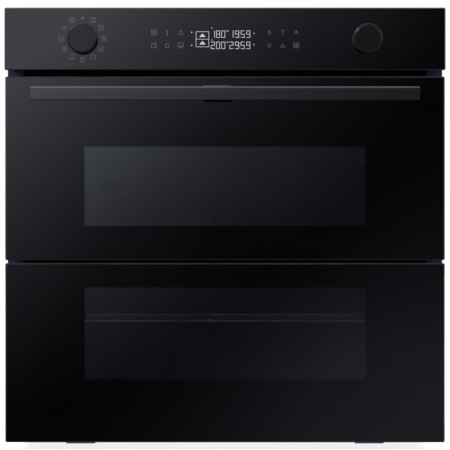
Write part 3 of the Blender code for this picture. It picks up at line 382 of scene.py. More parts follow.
def add_turned(shape, profile, centre, direction, steps=48):
    """Adds a turned solid; profile lists (distance along direction, radius)."""
    part = bmesh.new()
    rings = []
    for along, radius in profile:
        points = circle(radius, steps) if radius else [(0.0, 0.0)]
        rings.append([part.verts.new((x, y, along)) for x, y in points])
    for first, second in zip(rings, rings[1:]):
        for step in range(steps):
            after = (step + 1) % steps
            corners = [first[step % len(first)], first[after % len(first)],
                       second[after % len(second)], second[step % len(second)]]
            unique = list(dict.fromkeys(corners))
            if len(unique) > 2:
                part.faces.new(unique)
    turn = Vector(direction).to_track_quat("Z", "Y").to_matrix().to_4x4()
    bmesh.ops.transform(part, matrix=Matrix.Translation(centre) @ turn, verts=part.verts)
    bmesh.ops.recalc_face_normals(part, faces=part.faces)
    merge_into(shape, part)


def add_tube(shape, points, radius, closed=False, sides=10):
    """Adds a round wire through points, mitred at its bends, with capped ends."""
    points = [Vector(point) for point in points]
    part = bmesh.new()
    count = len(points)
    rings = []
    normal = None
    for index, point in enumerate(points):
        before = points[index - 1] if index or closed else point
        after = points[(index + 1) % count] if index < count - 1 or closed else point
        incoming, outgoing = (point - before).normalized(), (after - point).normalized()
        tangent = (incoming + outgoing).normalized()
        if normal is None:
            normal = tangent.orthogonal().normalized()
        normal = (normal - tangent * normal.dot(tangent)).normalized()
        across = tangent.cross(normal)
        inner = (outgoing - incoming).normalized()
        bend = 1.0 / math.cos(incoming.angle(outgoing, 0.0) / 2)
        ring = []
        for x, y in circle(radius, sides):
            offset = normal * x + across * y
            offset += inner * offset.dot(inner) * (bend - 1.0)
            ring.append(part.verts.new(point + offset))
        rings.append(ring)
    pairs = list(zip(rings, rings[1:])) + ([(rings[-1], rings[0])] if closed else [])
    for first, second in pairs:
        join(part, first, second)
    if not closed:
        part.faces.new(rings[0][::-1])
        part.faces.new(rings[-1])
    bmesh.ops.recalc_face_normals(part, faces=part.faces)
    merge_into(shape, part)


WINDOW_CORNER = 2.0 * MM
LEAST_CORNER = 0.2 * MM


def rounded_outline(low, high, radius, steps=5):
    """Points of a rounded rectangle, anticlockwise from the right of its upper right corner."""
    left, right = ends_of(low[0], high[0], radius)
    foot, top = ends_of(low[1], high[1], radius)
    corners = ((right, top, 0), (left, top, 90), (left, foot, 180), (right, foot, 270))
    return [point for x, z, start in corners
            for point in arc((x, z), radius, start, start + 90, steps)]


def add_slab(shape, low, high, corner, chamfer, window=None):
    """A glass slab with rounded corners and ground edges; window splits off its own faces.

    window is ((low x, low z), (high x, high z)) or None. The slab's faces take material 0, its
    ground edges 1 and its window 2.
    """
    part = bmesh.new()

    def ring(inset, y):
        points = rounded_outline((low.x + inset, low.z + inset), (high.x - inset, high.z - inset),
                                 max(corner - inset, LEAST_CORNER))
        return [part.verts.new((x, y, z)) for x, z in points]

    front, back = ring(chamfer, low.y), ring(chamfer, high.y)
    outer_front, outer_back = ring(0.0, low.y + chamfer), ring(0.0, high.y - chamfer)
    for first, second in ((front, outer_front), (outer_front, outer_back), (outer_back, back)):
        join(part, first, second, 1)
    for edge, y in ((front, low.y), (back, high.y)):
        inner = edge
        if window:
            points = rounded_outline(window[0], window[1], WINDOW_CORNER)
            inner = [part.verts.new((x, y, z)) for x, z in points]
            join(part, edge, inner)
        part.faces.new(inner).material_index = 2 if window else 0
    bmesh.ops.recalc_face_normals(part, faces=part.faces)
    merge_into(shape, part)


def add_extruded(shape, profile, start, end, bevel=0.0):
    """Extrudes a (y, z) outline along x and softens its two end edges."""
    part = bmesh.new()
    loops = [[part.verts.new((x, y, z)) for y, z in profile] for x in (start, end)]
    join(part, *loops)
    ends = [part.faces.new(loops[0][::-1]), part.faces.new(loops[1])]
    bmesh.ops.recalc_face_normals(part, faces=part.faces)
    if bevel:
        soften(part, dict.fromkeys(edge for face in ends for edge in face.edges), bevel)
    merge_into(shape, part)


SCREW_SINK = 0.2 * MM
SCREW_HEIGHT = 0.62  # of its radius
SCREW_HEAD = [(0.45, 0.98), (0.8, 0.8), (1.0, 0.45), (0.9, 0.36), (0.35, 0.32), (0.35, 0.0)]


def add_screws(shape, xs, ys, zs, direction, radius):
    """Pan-head screws with a round socket, one standing on each place of the grid."""
    profile = [(-SCREW_SINK, 0.0), (-SCREW_SINK, radius)]
    profile += [(radius * SCREW_HEIGHT * along, radius * across) for along, across in SCREW_HEAD]
    for place in itertools.product(xs, ys, zs):
        add_turned(shape, profile, place, direction, steps=20)


# ---- glass fronts

WINDOW_HALF = 0.1904
UPPER_WINDOW = (0.3015, 0.4095)
LOWER_WINDOW = (0.0939, 0.2183)
GLASS_CORNER = 2.2 * MM
GROUND_EDGE = 1.5 * MM


def build_glass_fronts():
    """The outer glass of both doors, each with its window, and the control panel's glass."""
    for name, node, body, heights in (
            ("upper_door_glass", "upper_outer_glass", "upper_door", UPPER_WINDOW),
            ("lower_door_glass", "lower_outer_glass", "lower_door", LOWER_WINDOW),
            ("control_panel_glass", "control_glass", "root", None)):
        low, high = box_of(node)
        window = heights and ((-WINDOW_HALF, heights[0]), (WINDOW_HALF, heights[1]))
        shape = bmesh.new()
        add_slab(shape, low, high, GLASS_CORNER, GROUND_EDGE, window)
        finish_piece(name, shape, [PRINT, EDGE_GLASS, WINDOW_GLASS], body, [node],
                     smooth=False)


PANE_LEAN = math.radians(1.35)
PANE_SETBACK = 16.0 * MM  # from the front of the outer glass
PANE_GROW = 10.0 * MM  # past the window on each side
PANE_THICKNESS = 3.2 * MM
HOLDER_LIP, HOLDER_DEPTH = 2.2 * MM, 5.5 * MM
HOLDER_AHEAD = 1.0 * MM
PANE_PLAY = 0.1 * MM
CLIP_HALF, CLIP_TALL = 3.0 * MM, 18.0 * MM


def build_middle_panes():
    """The pane between the outer and inner glass of each door, in its clips and foil frame."""
    for name, heights in (("upper", UPPER_WINDOW), ("lower", LOWER_WINDOW)):
        body = name + "_door"
        front = box_of(name + "_outer_glass")[0].y + PANE_SETBACK
        low = Vector((-WINDOW_HALF - PANE_GROW, front, heights[0] - PANE_GROW))
        high = Vector((WINDOW_HALF + PANE_GROW, front + PANE_THICKNESS, heights[1] + PANE_GROW))
        centre = middle_of(low, high)
        lean = (Matrix.Translation(centre) @ Matrix.Rotation(-PANE_LEAN, 4, "X")
                @ Matrix.Translation(-centre))
        pane, foil = bmesh.new(), bmesh.new()
        add_slab(pane, low, high, 2.0 * MM, 0.4 * MM)
        ahead, behind = front - HOLDER_AHEAD, front + HOLDER_DEPTH
        for side in (-1, 1):
            x = side * (WINDOW_HALF + PANE_GROW + HOLDER_LIP / 2 + PANE_PLAY)
            add_block(foil, (x - HOLDER_LIP / 2, ahead, low.z - HOLDER_LIP),
                      (x + HOLDER_LIP / 2, behind, high.z + HOLDER_LIP), 0.3 * MM)
            z = high.z + PANE_PLAY if side > 0 else low.z - PANE_PLAY - HOLDER_LIP
            add_block(foil, (low.x, ahead, z), (high.x, behind, z + HOLDER_LIP), 0.3 * MM)
            for foot in (low.z + 12.0 * MM, high.z - 30.0 * MM):
                add_block(foil, (x - CLIP_HALF, ahead - 0.6 * MM, foot),
                          (x + CLIP_HALF, behind + 1.0 * MM, foot + CLIP_TALL), 0.8 * MM)
        for shape in (pane, foil):
            bmesh.ops.transform(shape, matrix=lean, verts=shape.verts)
        finish_piece(name + "_middle_pane", pane, [MIDDLE_GLASS, EDGE_GLASS], body,
                     smooth=False)
        finish_piece(name + "_pane_holder", foil, DARK_FRAME, body)


# ---- marks on the control panel

def bar(z, half):
    return [(-half, z), (half, z)]


# A mark is a list of lines through points, in a square from -1 to 1.
SQUARE = [(-1, -1), (1, -1), (1, 1), (-1, 1), (-1, -1)]
TOP_HEAT = [(-0.55, 0.62), (-0.28, 0.36), (0.0, 0.62), (0.28, 0.36), (0.55, 0.62)]
TOP_BAR = bar(0.58, 0.6)
BASE_BAR = bar(-0.62, 0.6)
TRAY = [(-0.62, 0.1), (-0.45, -0.25), (0.45, -0.25), (0.62, 0.1)]
FAN = [arc((0, -0.05), 0.34, 0, 360), [(-0.24, -0.29), (0.24, 0.19)],
       [(-0.24, 0.19), (0.24, -0.29)]]
MODES = [
    [SQUARE, TOP_BAR, BASE_BAR], [SQUARE, *FAN], [SQUARE, TOP_BAR, *FAN],
    [SQUARE, BASE_BAR, *FAN], [SQUARE, TOP_HEAT], [SQUARE, TOP_HEAT, BASE_BAR],
    [SQUARE, BASE_BAR], [SQUARE, TOP_HEAT, *FAN], [SQUARE, TRAY],
    [arc((0, 0), 0.85, 0, 360), [(0, 0), (0, 0.55)]], [SQUARE, TOP_BAR, TRAY],
]
LEFT_KEYS = [
    [SQUARE, bar(0.35, 0.5), bar(0, 0.5), bar(-0.35, 0.5)],
    [[(0, -0.9), (0, 0.9)], [(-0.4, 0.45), (0, 0.9), (0.4, 0.45)], arc((0, -0.7), 0.3, 120, 420)],
    [[(-1, -0.5), (-0.7, -0.95), (0.7, -0.95), (1, -0.5)], arc((0, -0.35), 0.6, 0, 180), TOP_BAR],
    [SQUARE, [(-0.5, 0.5), (0.5, 0.5), (0.5, -0.5)]],
    [[(-0.9, 0), (0, 0.9), (0.9, 0)], [(-0.6, 0.1), (-0.6, -0.9), (0.6, -0.9), (0.6, 0.1)]],
    [SQUARE, TRAY, BASE_BAR],
]
RIGHT_KEYS = [
    [arc((0, -0.3), 0.55, 150, 390) + [(0, 0.95), *arc((0, -0.3), 0.55, 150, 152, 1)]],
    [bar(0.85, 0.6), [(0, 0.85), (0, -0.9)]],
    [[(-0.6, 0.1), (0, 0.75), (0.6, 0.1)], [(-0.6, -0.6), (0, 0.05), (0.6, -0.6)]],
    [[(-0.55, 0.9), (-0.55, -0.3), *arc((0, -0.3), 0.55, 180, 360), (0.55, 0.9)]],
    [bar(-0.7, 1), arc((0, -0.55), 0.75, 0, 180), [(0, 0.2), (0, 0.45)]],
    [SQUARE, bar(0, 1), [(0, -1), (0, 1)]],
]
DIAMOND = [[(0, 1), (1, 0), (0, -1), (-1, 0), (0, 1)]]
POT = [*(arc((0, -0.35), reach, 0, 180) for reach in (0.7, 0.5, 0.3, 0.12)), bar(-0.45, 1),
       [(0, 0.5), (0, 0.7)]]
SEGMENTS = {"0": "abcdef", "1": "bc", "2": "abged", "5": "afgcd", "8": "abcdefg", "9": "abcdfg"}
SEGMENT_LINES = {"a": ((-1, 1), (1, 1)), "b": ((1, 1), (1, 0)), "c": ((1, 0), (1, -1)),
                 "d": ((-1, -1), (1, -1)), "e": ((-1, 0), (-1, -1)), "f": ((-1, 1), (-1, 0)),
                 "g": ((-1, 0), (1, 0))}

MARK_LIFT = 0.03 * MM
MARK_THICKNESS = 0.05 * MM
LEAST_LENGTH = 0.0001 * MM
KEY_STROKE, MODE_STROKE = 0.42 * MM, 0.38 * MM
MODE_RING, MODE_HALF, MODE_RAISE = 28.6 * MM, 3.1 * MM, 0.8 * MM  # round the left dial
KEY_FIRST, KEY_PITCH, KEY_HALF = 59.8 * MM, 18.1 * MM, 3.3 * MM
ROWS = (9.0 * MM, -8.5 * MM)  # of the keys, from the dial's centre
KEYS_PER_ROW = 3
ZONE_X, ZONE_DROP = -30.4 * MM, 0.3 * MM
ZONE_HALF = (8.6 * MM, 10.2 * MM)  # frame round the two pots of the display
DIGIT_ROWS = (6.6 * MM, -8.5 * MM)
DIGIT_HALF = (2.25 * MM, 4.45 * MM)
DIGIT_STROKE, FINE_STROKE = 0.66 * MM, 0.6 * MM
DISPLAY_TEXT = (("180", "1959"), ("200", "2959"))
TEXT_PLACES = ((-16.4 * MM, 7.0 * MM), (8.6 * MM, 7.6 * MM))  # first digit and pitch


def add_line(shape, points, y, width):
    """A raised line with rounded joints on the glass, through (x, z) points."""
    for (x0, z0), (x1, z1) in zip(points, points[1:]):
        length = math.hypot(x1 - x0, z1 - z0)
        if length < LEAST_LENGTH:
            continue
        turn = Matrix.Rotation(-math.atan2(z1 - z0, x1 - x0), 4, "Y")
        middle = Vector(((x0 + x1) / 2, y, (z0 + z1) / 2))
        half = Vector((length / 2 + width * 0.32, MARK_THICKNESS / 2, width / 2))
        add_block(shape, middle - half, middle + half, turn=turn)


def add_mark(shape, lines, centre, half, y, width):
    for line in lines:
        add_line(shape, [(centre[0] + x * half, centre[1] + z * half) for x, z in line], y, width)


def build_panel_marks():
    """Pictograms round the left dial and beside the display, and the display itself."""
    y = box_of("control_glass")[0].y - MARK_LIFT
    dial_x, _, dial_z = middle_of(*box_of("mode_knob"))
    icons, lit = bmesh.new(), bmesh.new()
    ring_z = dial_z + MODE_RAISE
    places = len(MODES) + 1
    for index, lines in enumerate(MODES, start=1):
        angle = math.radians(90.0 - 360.0 * index / places)
        centre = (dial_x + MODE_RING * math.cos(angle), ring_z + MODE_RING * math.sin(angle))
        add_mark(icons, lines, centre, MODE_HALF, y, MODE_STROKE)
    add_mark(icons, DIAMOND, (dial_x, ring_z + MODE_RING - 1.5 * MM), 1.5 * MM, y, 0.8 * MM)
    for keys, side in ((LEFT_KEYS, -1), (RIGHT_KEYS, 1)):
        for index, lines in enumerate(keys):
            row, place = divmod(index, KEYS_PER_ROW)
            x = KEY_FIRST + KEY_PITCH * (place if side > 0 else KEYS_PER_ROW - 1 - place)
            add_mark(icons, lines, (side * x, dial_z + ROWS[row]), KEY_HALF, y, KEY_STROKE)
    finish_piece("panel_pictograms", icons, ICONS, "root", smooth=False)

    zone_z = dial_z - ZONE_DROP
    zone = [(ZONE_X + x * ZONE_HALF[0], zone_z + z * ZONE_HALF[1]) for x, z in SQUARE]
    add_line(lit, zone, y, 0.55 * MM)
    for level, row in ((1, 0), (-1, 1)):
        middle = zone_z + level * ZONE_HALF[1] / 2
        shelf = middle - level * ZONE_HALF[1] / 2
        add_line(lit, [(ZONE_X - ZONE_HALF[0], shelf), (ZONE_X + ZONE_HALF[0], shelf)], y,
                 FINE_STROKE)
        add_mark(lit, POT, (ZONE_X, middle), 3.6 * MM, y, 0.8 * MM)
        add_mark(lit, [arc((0, 0), 0.5, 0, 360, 10)], (-45.0 * MM, dial_z + ROWS[row]), 0.8 * MM,
                 y, 0.9 * MM)
    for row, texts in enumerate(DISPLAY_TEXT):
        middle = dial_z + DIGIT_ROWS[row]
        for text, (start, pitch) in zip(texts, TEXT_PLACES):
            for index, digit in enumerate(text):
                for segment in SEGMENTS[digit]:
                    add_line(lit, [(start + index * pitch + x * DIGIT_HALF[0],
                                    middle + z * DIGIT_HALF[1])
                                   for x, z in SEGMENT_LINES[segment]], y, DIGIT_STROKE)
        for lines, x, z, half, stroke in (
                ([arc((0, 0), 0.9, 0, 360, 10)], 3.3, 4.2, 0.9, 0.55),  # degree ring
                ([bar(0, 0.5)], 20.0, -2.0, 0.5, 0.6),  # colon
                ([bar(0, 0.5)], 20.0, 2.0, 0.5, 0.6),
                ([[(0, 0), (0, 1)]], 39.2, 0.0, 2.0, 0.6),
                ([bar(0, 1), [(0, 0), (0, 1)]], -17.5, 8.2 - row, 1.0, 0.4)):
            add_mark(lit, lines, (x * MM, middle + z * MM), half * MM, y, stroke * MM)
    finish_piece("display_digits", lit, DIGITS, "root", smooth=False)


# ---- knobs, handle and lever

KNOB_RADIUS = 20.0
# Distance behind the knob's front and radius, in mm, for KNOB_RADIUS.
KNOB_PROFILE = [(0.0, 0.0), (0.0, 14.6), (0.0, 17.0), (0.25, 17.35), (0.25, 18.0), (0.0, 18.3),
                (0.05, 18.9), (0.45, 19.6), (1.1, 19.95), (1.8, 20.0), (17.6, 20.0), (17.9, 19.7),
                (17.9, 19.2), (19.2, 19.0), (19.2, 3.0), (34.3, 3.0), (34.5, 2.8), (34.5, 0.0)]
POINTER_HALF = 0.45 * MM
POINTER_FROM, POINTER_TO = 1.5 * MM, 15.5 * MM


def build_knobs():
    """Turned knobs with a fine groove in the face; the mode knob has a pointer line."""
    for name, node in (("mode_dial", "mode_knob"), ("value_dial", "value_knob")):
        low, high = box_of(node)
        centre = middle_of(low, high)
        centre.y = low.y
        scale = (high.x - low.x) / 2 / KNOB_RADIUS
        shape = bmesh.new()
        add_turned(shape, [(along * MM, across * scale) for along, across in KNOB_PROFILE], centre,
                   (0, 1, 0), steps=96)
        if node == "mode_knob":
            add_block(shape, centre + Vector((-POINTER_HALF, -0.15 * MM, POINTER_FROM)),
                      centre + Vector((POINTER_HALF, 0.3 * MM, POINTER_TO)), 0.12 * MM, material=1)
        finish_piece(name, shape, [TURNED_METAL, RIM_METAL], node, [node])


BAR_CHAMFER, BAR_SOFT = 2.3 * MM, 0.6 * MM
POST_FLANGE = Vector((1.2 * MM, 0.0, 1.2 * MM))
LEVER_DEPTH = 8.5 * MM
GRIP_RIBS, GRIP_PITCH, GRIP_HALF = 5, 6.0 * MM, 0.7 * MM
TONGUE_HALF = 3.0 * MM


def build_handle():
    """The bar with its chamfered upper edge, the two posts and the centre lever."""
    low, high = box_of("handle_bar")
    profile = [(low.y + BAR_SOFT, low.z), (low.y, low.z + BAR_SOFT), (low.y, high.z - BAR_CHAMFER),
               (low.y + BAR_CHAMFER * 0.9, high.z), (high.y - BAR_SOFT, high.z),
               (high.y, high.z - BAR_SOFT), (high.y, low.z + BAR_SOFT), (high.y - BAR_SOFT, low.z)]
    shape = bmesh.new()
    add_extruded(shape, profile, low.x, high.x, 0.5 * MM)
    handle = finish_piece("handle_profile", shape, BRUSHED_BAR, "upper_door",
                          ["handle_bar"])
    handle.visible_glossy = False
    glass = box_of("upper_outer_glass")[0].y
    for side in ("left", "right"):
        node = side + "_handle_post"
        low, high = box_of(node)
        shape = bmesh.new()
        high.y = glass - 0.2 * MM
        add_block(shape, low, high, 1.1 * MM, 3)
        low.y, high.y = glass - 1.4 * MM, glass - 0.1 * MM
        add_block(shape, low - POST_FLANGE, high + POST_FLANGE, 0.5 * MM)
        finish_piece(side + "_handle_bracket", shape, BRUSHED_BAR, "upper_door",
                     [node])
    low, high = box_of("door_lever")
    front, back = low.y, low.y + LEVER_DEPTH
    shape = bmesh.new()
    profile = [(front, low.z + 5.5 * MM), (front, high.z - 1.6 * MM), (front + 1.2 * MM, high.z),
               (back - 2.0 * MM, high.z), (back, high.z - 2.0 * MM), (back, low.z + 3.0 * MM),
               (back - 1.5 * MM, low.z + 1.5 * MM), (front + 3.0 * MM, low.z + 2.2 * MM)]
    add_extruded(shape, profile, low.x, high.x, 0.7 * MM)
    centre = middle_of(low.x, high.x)
    for index in range(GRIP_RIBS):
        x = centre + (index - GRIP_RIBS // 2) * GRIP_PITCH
        add_block(shape, (x - GRIP_HALF, front + 2.4 * MM, high.z - 0.3 * MM),
                  (x + GRIP_HALF, back - 2.4 * MM, high.z + 0.35 * MM), 0.25 * MM)
    add_block(shape, (centre - TONGUE_HALF, back - 1.0 * MM, low.z + 6.0 * MM),
              (centre + TONGUE_HALF, high.y, low.z + 13.0 * MM), 0.5 * MM)
    finish_piece("handle_lever", shape, BRUSHED_BAR, "lever", ["door_lever"])


# ---- cavity

RACK_WIRE, RACK_RUNNER = 2.0 * MM, 2.8 * MM
RACK_CORNER = 9.0 * MM
ROD_PITCH = 21.7 * MM
RODS_PER_SIDE = 9
ROD_DOME = [(0.0, 1.0), (0.2, 0.97), (0.34, 0.86), (0.40, 0.70), (0.41, 0.0)]


def build_wire_rack():
    """The shelf: a closed rim, rods from front to back with rounded ends, and cross bars."""
    low, high = box_of("wire_rack")
    base = low.z + RACK_RUNNER + 0.1 * MM
    side = high.x - RACK_RUNNER
    front, back = low.y + RACK_RUNNER, high.y - RACK_RUNNER
    shape = bmesh.new()
    rim = rounded_outline((-side, front), (side, back), RACK_CORNER, 6)
    add_tube(shape, [(x, y, base) for x, y in rim], RACK_RUNNER, closed=True, sides=14)
    top = base + 2.6 * MM
    tip, tail = front - RACK_RUNNER * 0.95, back + RACK_RUNNER * 0.6
    dome = [(RACK_WIRE * along, RACK_WIRE * across) for along, across in ROD_DOME]
    for index in range(-RODS_PER_SIDE, RODS_PER_SIDE + 1):
        x = index * ROD_PITCH
        add_tube(shape, [(x, tip, top), (x, tail, top)], RACK_WIRE, sides=12)
        add_turned(shape, dome, (x, tip, top), (0, -1, 0), steps=12)
    near, far = ends_of(front, back, RACK_CORNER)
    for y, height in ((near, high.z - RACK_RUNNER * 0.9), (middle_of(near, far), base),
                      (far, base)):
        add_tube(shape, [(-side, y, height), (side, y, height)], RACK_RUNNER * 0.86, sides=12)
    return finish_piece("wire_shelf", shape, CHROME, "wire_rack", ["wire_rack"])


COVER_SCREW, DOOR_SCREW, CASE_SCREW, MOTOR_SCREW = 4.5 * MM, 3.8 * MM, 4.0 * MM, 3.4 * MM
RACK_STUD = [(0.0, 0.0), (0.0, 4.8 * MM), (2.2 * MM, 4.8 * MM), (3.0 * MM, 3.6 * MM),
             (3.0 * MM, 0.0)]
BRACKET_HALF = Vector((6.0 * MM, 0.6 * MM, 0.0))
BRACKET_REACH = 7.5 * MM


def build_cavity_details():
    """Screws of the fan covers, brackets of the elements, studs of the side racks."""
    screws, brackets = bmesh.new(), bmesh.new()
    for node in ("upper_fan_cover", "lower_fan_cover"):
        low, high = box_of(node)
        add_screws(screws, ends_of(low.x, high.x, 0.012), (low.y,),
                   ends_of(low.z, high.z, 0.012), (0, -1, 0), COVER_SCREW)
    for node, reach in (("grill_element", BRACKET_REACH), ("bottom_element", -BRACKET_REACH)):
        low, high = box_of(node)
        heights = sorted((middle_of(low.z, high.z), middle_of(low.z, high.z) + reach))
        for x in ends_of(low.x, high.x, 0.05):
            for y in (low.y + 0.06, middle_of(low.y, high.y)):
                add_block(brackets, Vector((x, y, heights[0])) - BRACKET_HALF,
                          Vector((x, y, heights[1])) + BRACKET_HALF, 0.4 * MM)
    for node, wall in (("left_side_rack", 1), ("right_side_rack", -1)):
        low, high = box_of(node)
        x = (low.x if wall > 0 else high.x) + wall * 0.2 * MM
        for y in ends_of(low.y, high.y, 0.010):
            for z in ends_of(low.z, high.z, 0.006):
                add_turned(screws, RACK_STUD, (x, y, z), (-wall, 0, 0), 18)
    finish_piece("cavity_screws", screws, STEEL_SCREW, "root")
    finish_piece("element_brackets", brackets, SHEATH, "root")


# ---- doors and case

def build_door_details():
    """Corner screws of the pressed door frames."""
    for name, node in (("lower_door", "door_frame"), ("upper_door", "upper_door_frame")):
        low, high = box_of(node)
        screws = bmesh.new()
        add_screws(screws, ends_of(low.x, high.x, 0.009), (high.y,),
                   (low.z + 0.012, high.z - 0.010), (0, 1, 0), DOOR_SCREW)
        finish_piece(name + "_screws", screws, STEEL_SCREW, name)


SEAL_HALF, SEAL_FOOT = 0.2485, 0.2486
SEAL_SETBACK, SEAL_DEPTH = 26.0 * MM, 7.0 * MM  # from the front of the lower glass
SEAL_GAP, SEAL_SHOULDER = 0.7 * MM, 1.7 * MM  # below the upper door's frame
LOUVRE_HALF, LOUVRE_DEPTH = 0.1945, 14.0 * MM
LOUVRE_LEAD = 3.4 * MM  # ahead of the air duct
BLADE_FEET = (0.4905, 0.4965, 0.5025)
BLADE_RISE, BLADE_THICKNESS = 5.6 * MM, 1.0 * MM
WEB_FOOT, WEB_TOP = 0.4895, 0.5085
WEBS_PER_SIDE, WEB_PITCH, WEB_HALF = 6, 0.032, 0.6 * MM


def build_seals_and_louvres():
    """The seal behind the split between the doors, and the fins of the air outlet."""
    front = box_of("lower_outer_glass")[0].y + SEAL_SETBACK
    top = box_of("upper_door_frame")[0].z - SEAL_GAP
    shoulder = top - SEAL_SHOULDER
    seal, fins = bmesh.new(), bmesh.new()
    lip = [(front, SEAL_FOOT), (front, shoulder), (front + 1.5 * MM, top), (front + 5.0 * MM, top),
           (front + SEAL_DEPTH, shoulder), (front + SEAL_DEPTH, SEAL_FOOT)]
    add_extruded(seal, lip, -SEAL_HALF, SEAL_HALF, 0.6 * MM)
    finish_piece("door_split_seal", seal, RUBBER, "lower_door")
    mouth = box_of("air_duct")[0].y - LOUVRE_LEAD
    back = mouth + LOUVRE_DEPTH
    for foot in BLADE_FEET:
        rear = foot + BLADE_RISE
        add_extruded(fins, [(mouth, foot), (mouth + 0.4 * MM, foot + BLADE_THICKNESS),
                            (back, rear + BLADE_THICKNESS), (back, rear)],
                     -LOUVRE_HALF, LOUVRE_HALF)
    for index in range(-WEBS_PER_SIDE, WEBS_PER_SIDE + 1):
        x = index * WEB_PITCH
        add_block(fins, (x - WEB_HALF, mouth + 1.0 * MM, WEB_FOOT),
                  (x + WEB_HALF, back, WEB_TOP), 0.3 * MM)
    finish_piece("air_outlet_louvre", fins, RUBBER, "root")


BEAD_HALF, BEAD_DEPTH, BEAD_SINK = 5.0 * MM, 1.6 * MM, 0.4 * MM


def add_bead(shape, low, high, axis, wall):
    """A pressed bead standing out of a panel along axis (0 x, 1 y, 2 z) towards wall."""
    low, high = list(low), list(high)
    face = high[axis] if wall > 0 else low[axis]
    low[axis], high[axis] = sorted((face - wall * BEAD_SINK, face + wall * BEAD_DEPTH))
    for other in range(3):
        if low[other] == high[other]:
            low[other] -= BEAD_HALF
            high[other] += BEAD_HALF
    add_block(shape, low, high, BEAD_DEPTH * 0.95, 3)


SIDE_INSET, REAR_INSET, CASE_INSET = 14.0 * MM, 12.0 * MM, 16.0 * MM  # of the case's screws
SIDE_BEADS, SIDE_BEAD_INSET = (0.24, 0.46, 0.68), 0.075  # share of the panel's height
REAR_BEADS, REAR_BEAD_ENDS = (0.115, 0.190), (0.045, 0.120)  # either side of the middle
TOP_BEAD, TOP_BEAD_INSET = 0.205, 0.050
CROSS_BEAD_HALF, CROSS_BEAD_SETBACK = 0.150, 0.120
FOLD_SINK, FOLD_DEPTH, FOLD_ROUND = 0.2 * MM, 0.9 * MM, 0.35 * MM
MOTOR_SCREW_X, MOTOR_SCREW_Z = 0.078, 0.050


def build_case_details():
    """Screws, pressed beads and folded seams of the zinc case."""
    screws, beads, seams = bmesh.new(), bmesh.new(), bmesh.new()
    for node, wall in (("left_side_panel", -1), ("right_side_panel", 1)):
        low, high = box_of(node)
        face = high.x if wall > 0 else low.x
        add_screws(screws, (face,), ends_of(low.y, high.y, SIDE_INSET),
                   (low.z + 0.020, middle_of(low.z, high.z), high.z - SIDE_INSET), (wall, 0, 0),
                   CASE_SCREW)
        for share in SIDE_BEADS:
            z = low.z + (high.z - low.z) * share
            near, far = ends_of(low.y, high.y, SIDE_BEAD_INSET)
            add_bead(beads, (low.x, near, z), (high.x, far, z), 0, wall)
        fold = sorted((face - wall * FOLD_SINK, face + wall * FOLD_DEPTH))
        for near, far, foot in ((high.y - 0.024, high.y + 0.0005, low.z + 0.001),
                                (low.y + 0.026, high.y - 0.0245, high.z - 0.022)):
            add_block(seams, (fold[0], near, foot), (fold[1], far, high.z + 0.0008), FOLD_ROUND)
    low, high = box_of("rear_panel")
    add_screws(screws, (*ends_of(low.x, high.x, CASE_INSET), middle_of(low.x, high.x)),
               (high.y,), ends_of(low.z, high.z, REAR_INSET), (0, 1, 0), CASE_SCREW)
    for side, place in itertools.product((-1, 1), REAR_BEADS):
        x = side * place
        add_bead(beads, (x, low.y, low.z + REAR_BEAD_ENDS[0]),
                 (x, high.y, high.z - REAR_BEAD_ENDS[1]), 1, 1)
    for fan in ("upper_fan_motor", "lower_fan_motor"):
        fan_z = middle_of(*box_of(fan)).z
        add_screws(screws, (-MOTOR_SCREW_X, MOTOR_SCREW_X), (high.y,),
                   (fan_z - MOTOR_SCREW_Z, fan_z + MOTOR_SCREW_Z), (0, 1, 0), MOTOR_SCREW)
    low, high = box_of("top_cover")
    add_screws(screws, ends_of(low.x, high.x, CASE_INSET),
               (*ends_of(low.y, high.y, CASE_INSET), middle_of(low.y, high.y)), (high.z,),
               (0, 0, 1), CASE_SCREW)
    near, far = ends_of(low.y, high.y, TOP_BEAD_INSET)
    for x in (-TOP_BEAD, TOP_BEAD):
        add_bead(beads, (x, near, low.z), (x, far, high.z), 2, 1)
    y = low.y + CROSS_BEAD_SETBACK
    add_bead(beads, (-CROSS_BEAD_HALF, y, low.z), (CROSS_BEAD_HALF, y, high.z), 2, 1)
    finish_piece("case_screws", screws, STEEL_SCREW, "root")
    finish_piece("case_beads", beads, ZINC, "root")
    finish_piece("case_seams", seams, ZINC, "root")


GLAND_X, GLAND_Z = 0.215, 0.506
# Distance from the terminal box and radius, in mm.
NUT_PROFILE = [(0.1, 8.4), (0.1, 11.2), (3.6, 11.2), (3.9, 10.9), (6.4, 10.9), (7.0, 10.2),
               (7.0, 8.6), (6.2, 8.0), (0.1, 8.4)]
MEMBRANE_PROFILE = [(2.0, 0.0), (2.0, 7.9), (5.2, 7.9), (5.6, 7.2), (4.4, 4.0), (3.4, 1.2),
                    (3.6, 0.0)]
GRIPS, GRIP_RADIUS, GRIP_OUT = 12, 10.9 * MM, 5.1 * MM
GRIP_BLOCK = Vector((0.7 * MM, 1.3 * MM, 1.6 * MM))


def build_cable_gland():
    """The empty cable inlet of the terminal box: a clamping nut round a rubber membrane."""
    centre = Vector((GLAND_X, box_of("terminal_box")[1].y, GLAND_Z))
    nut, seal = bmesh.new(), bmesh.new()
    for shape, profile, steps in ((nut, NUT_PROFILE, 32), (seal, MEMBRANE_PROFILE, 28)):
        add_turned(shape, [(along * MM, radius * MM) for along, radius in profile], centre,
                   (0, 1, 0), steps)
    for index in range(GRIPS):
        turn = Matrix.Rotation(2 * math.pi * index / GRIPS, 4, "Y")
        place = centre + turn @ Vector((GRIP_RADIUS, 0.0, 0.0)) + Vector((0.0, GRIP_OUT, 0.0))
        add_block(nut, place - GRIP_BLOCK, place + GRIP_BLOCK, 0.35 * MM, turn=turn)
    finish_piece("cable_gland_nut", nut, BLACK_PLASTIC, "root")
    finish_piece("cable_gland_seal", seal, RUBBER, "root")


# ---- studio

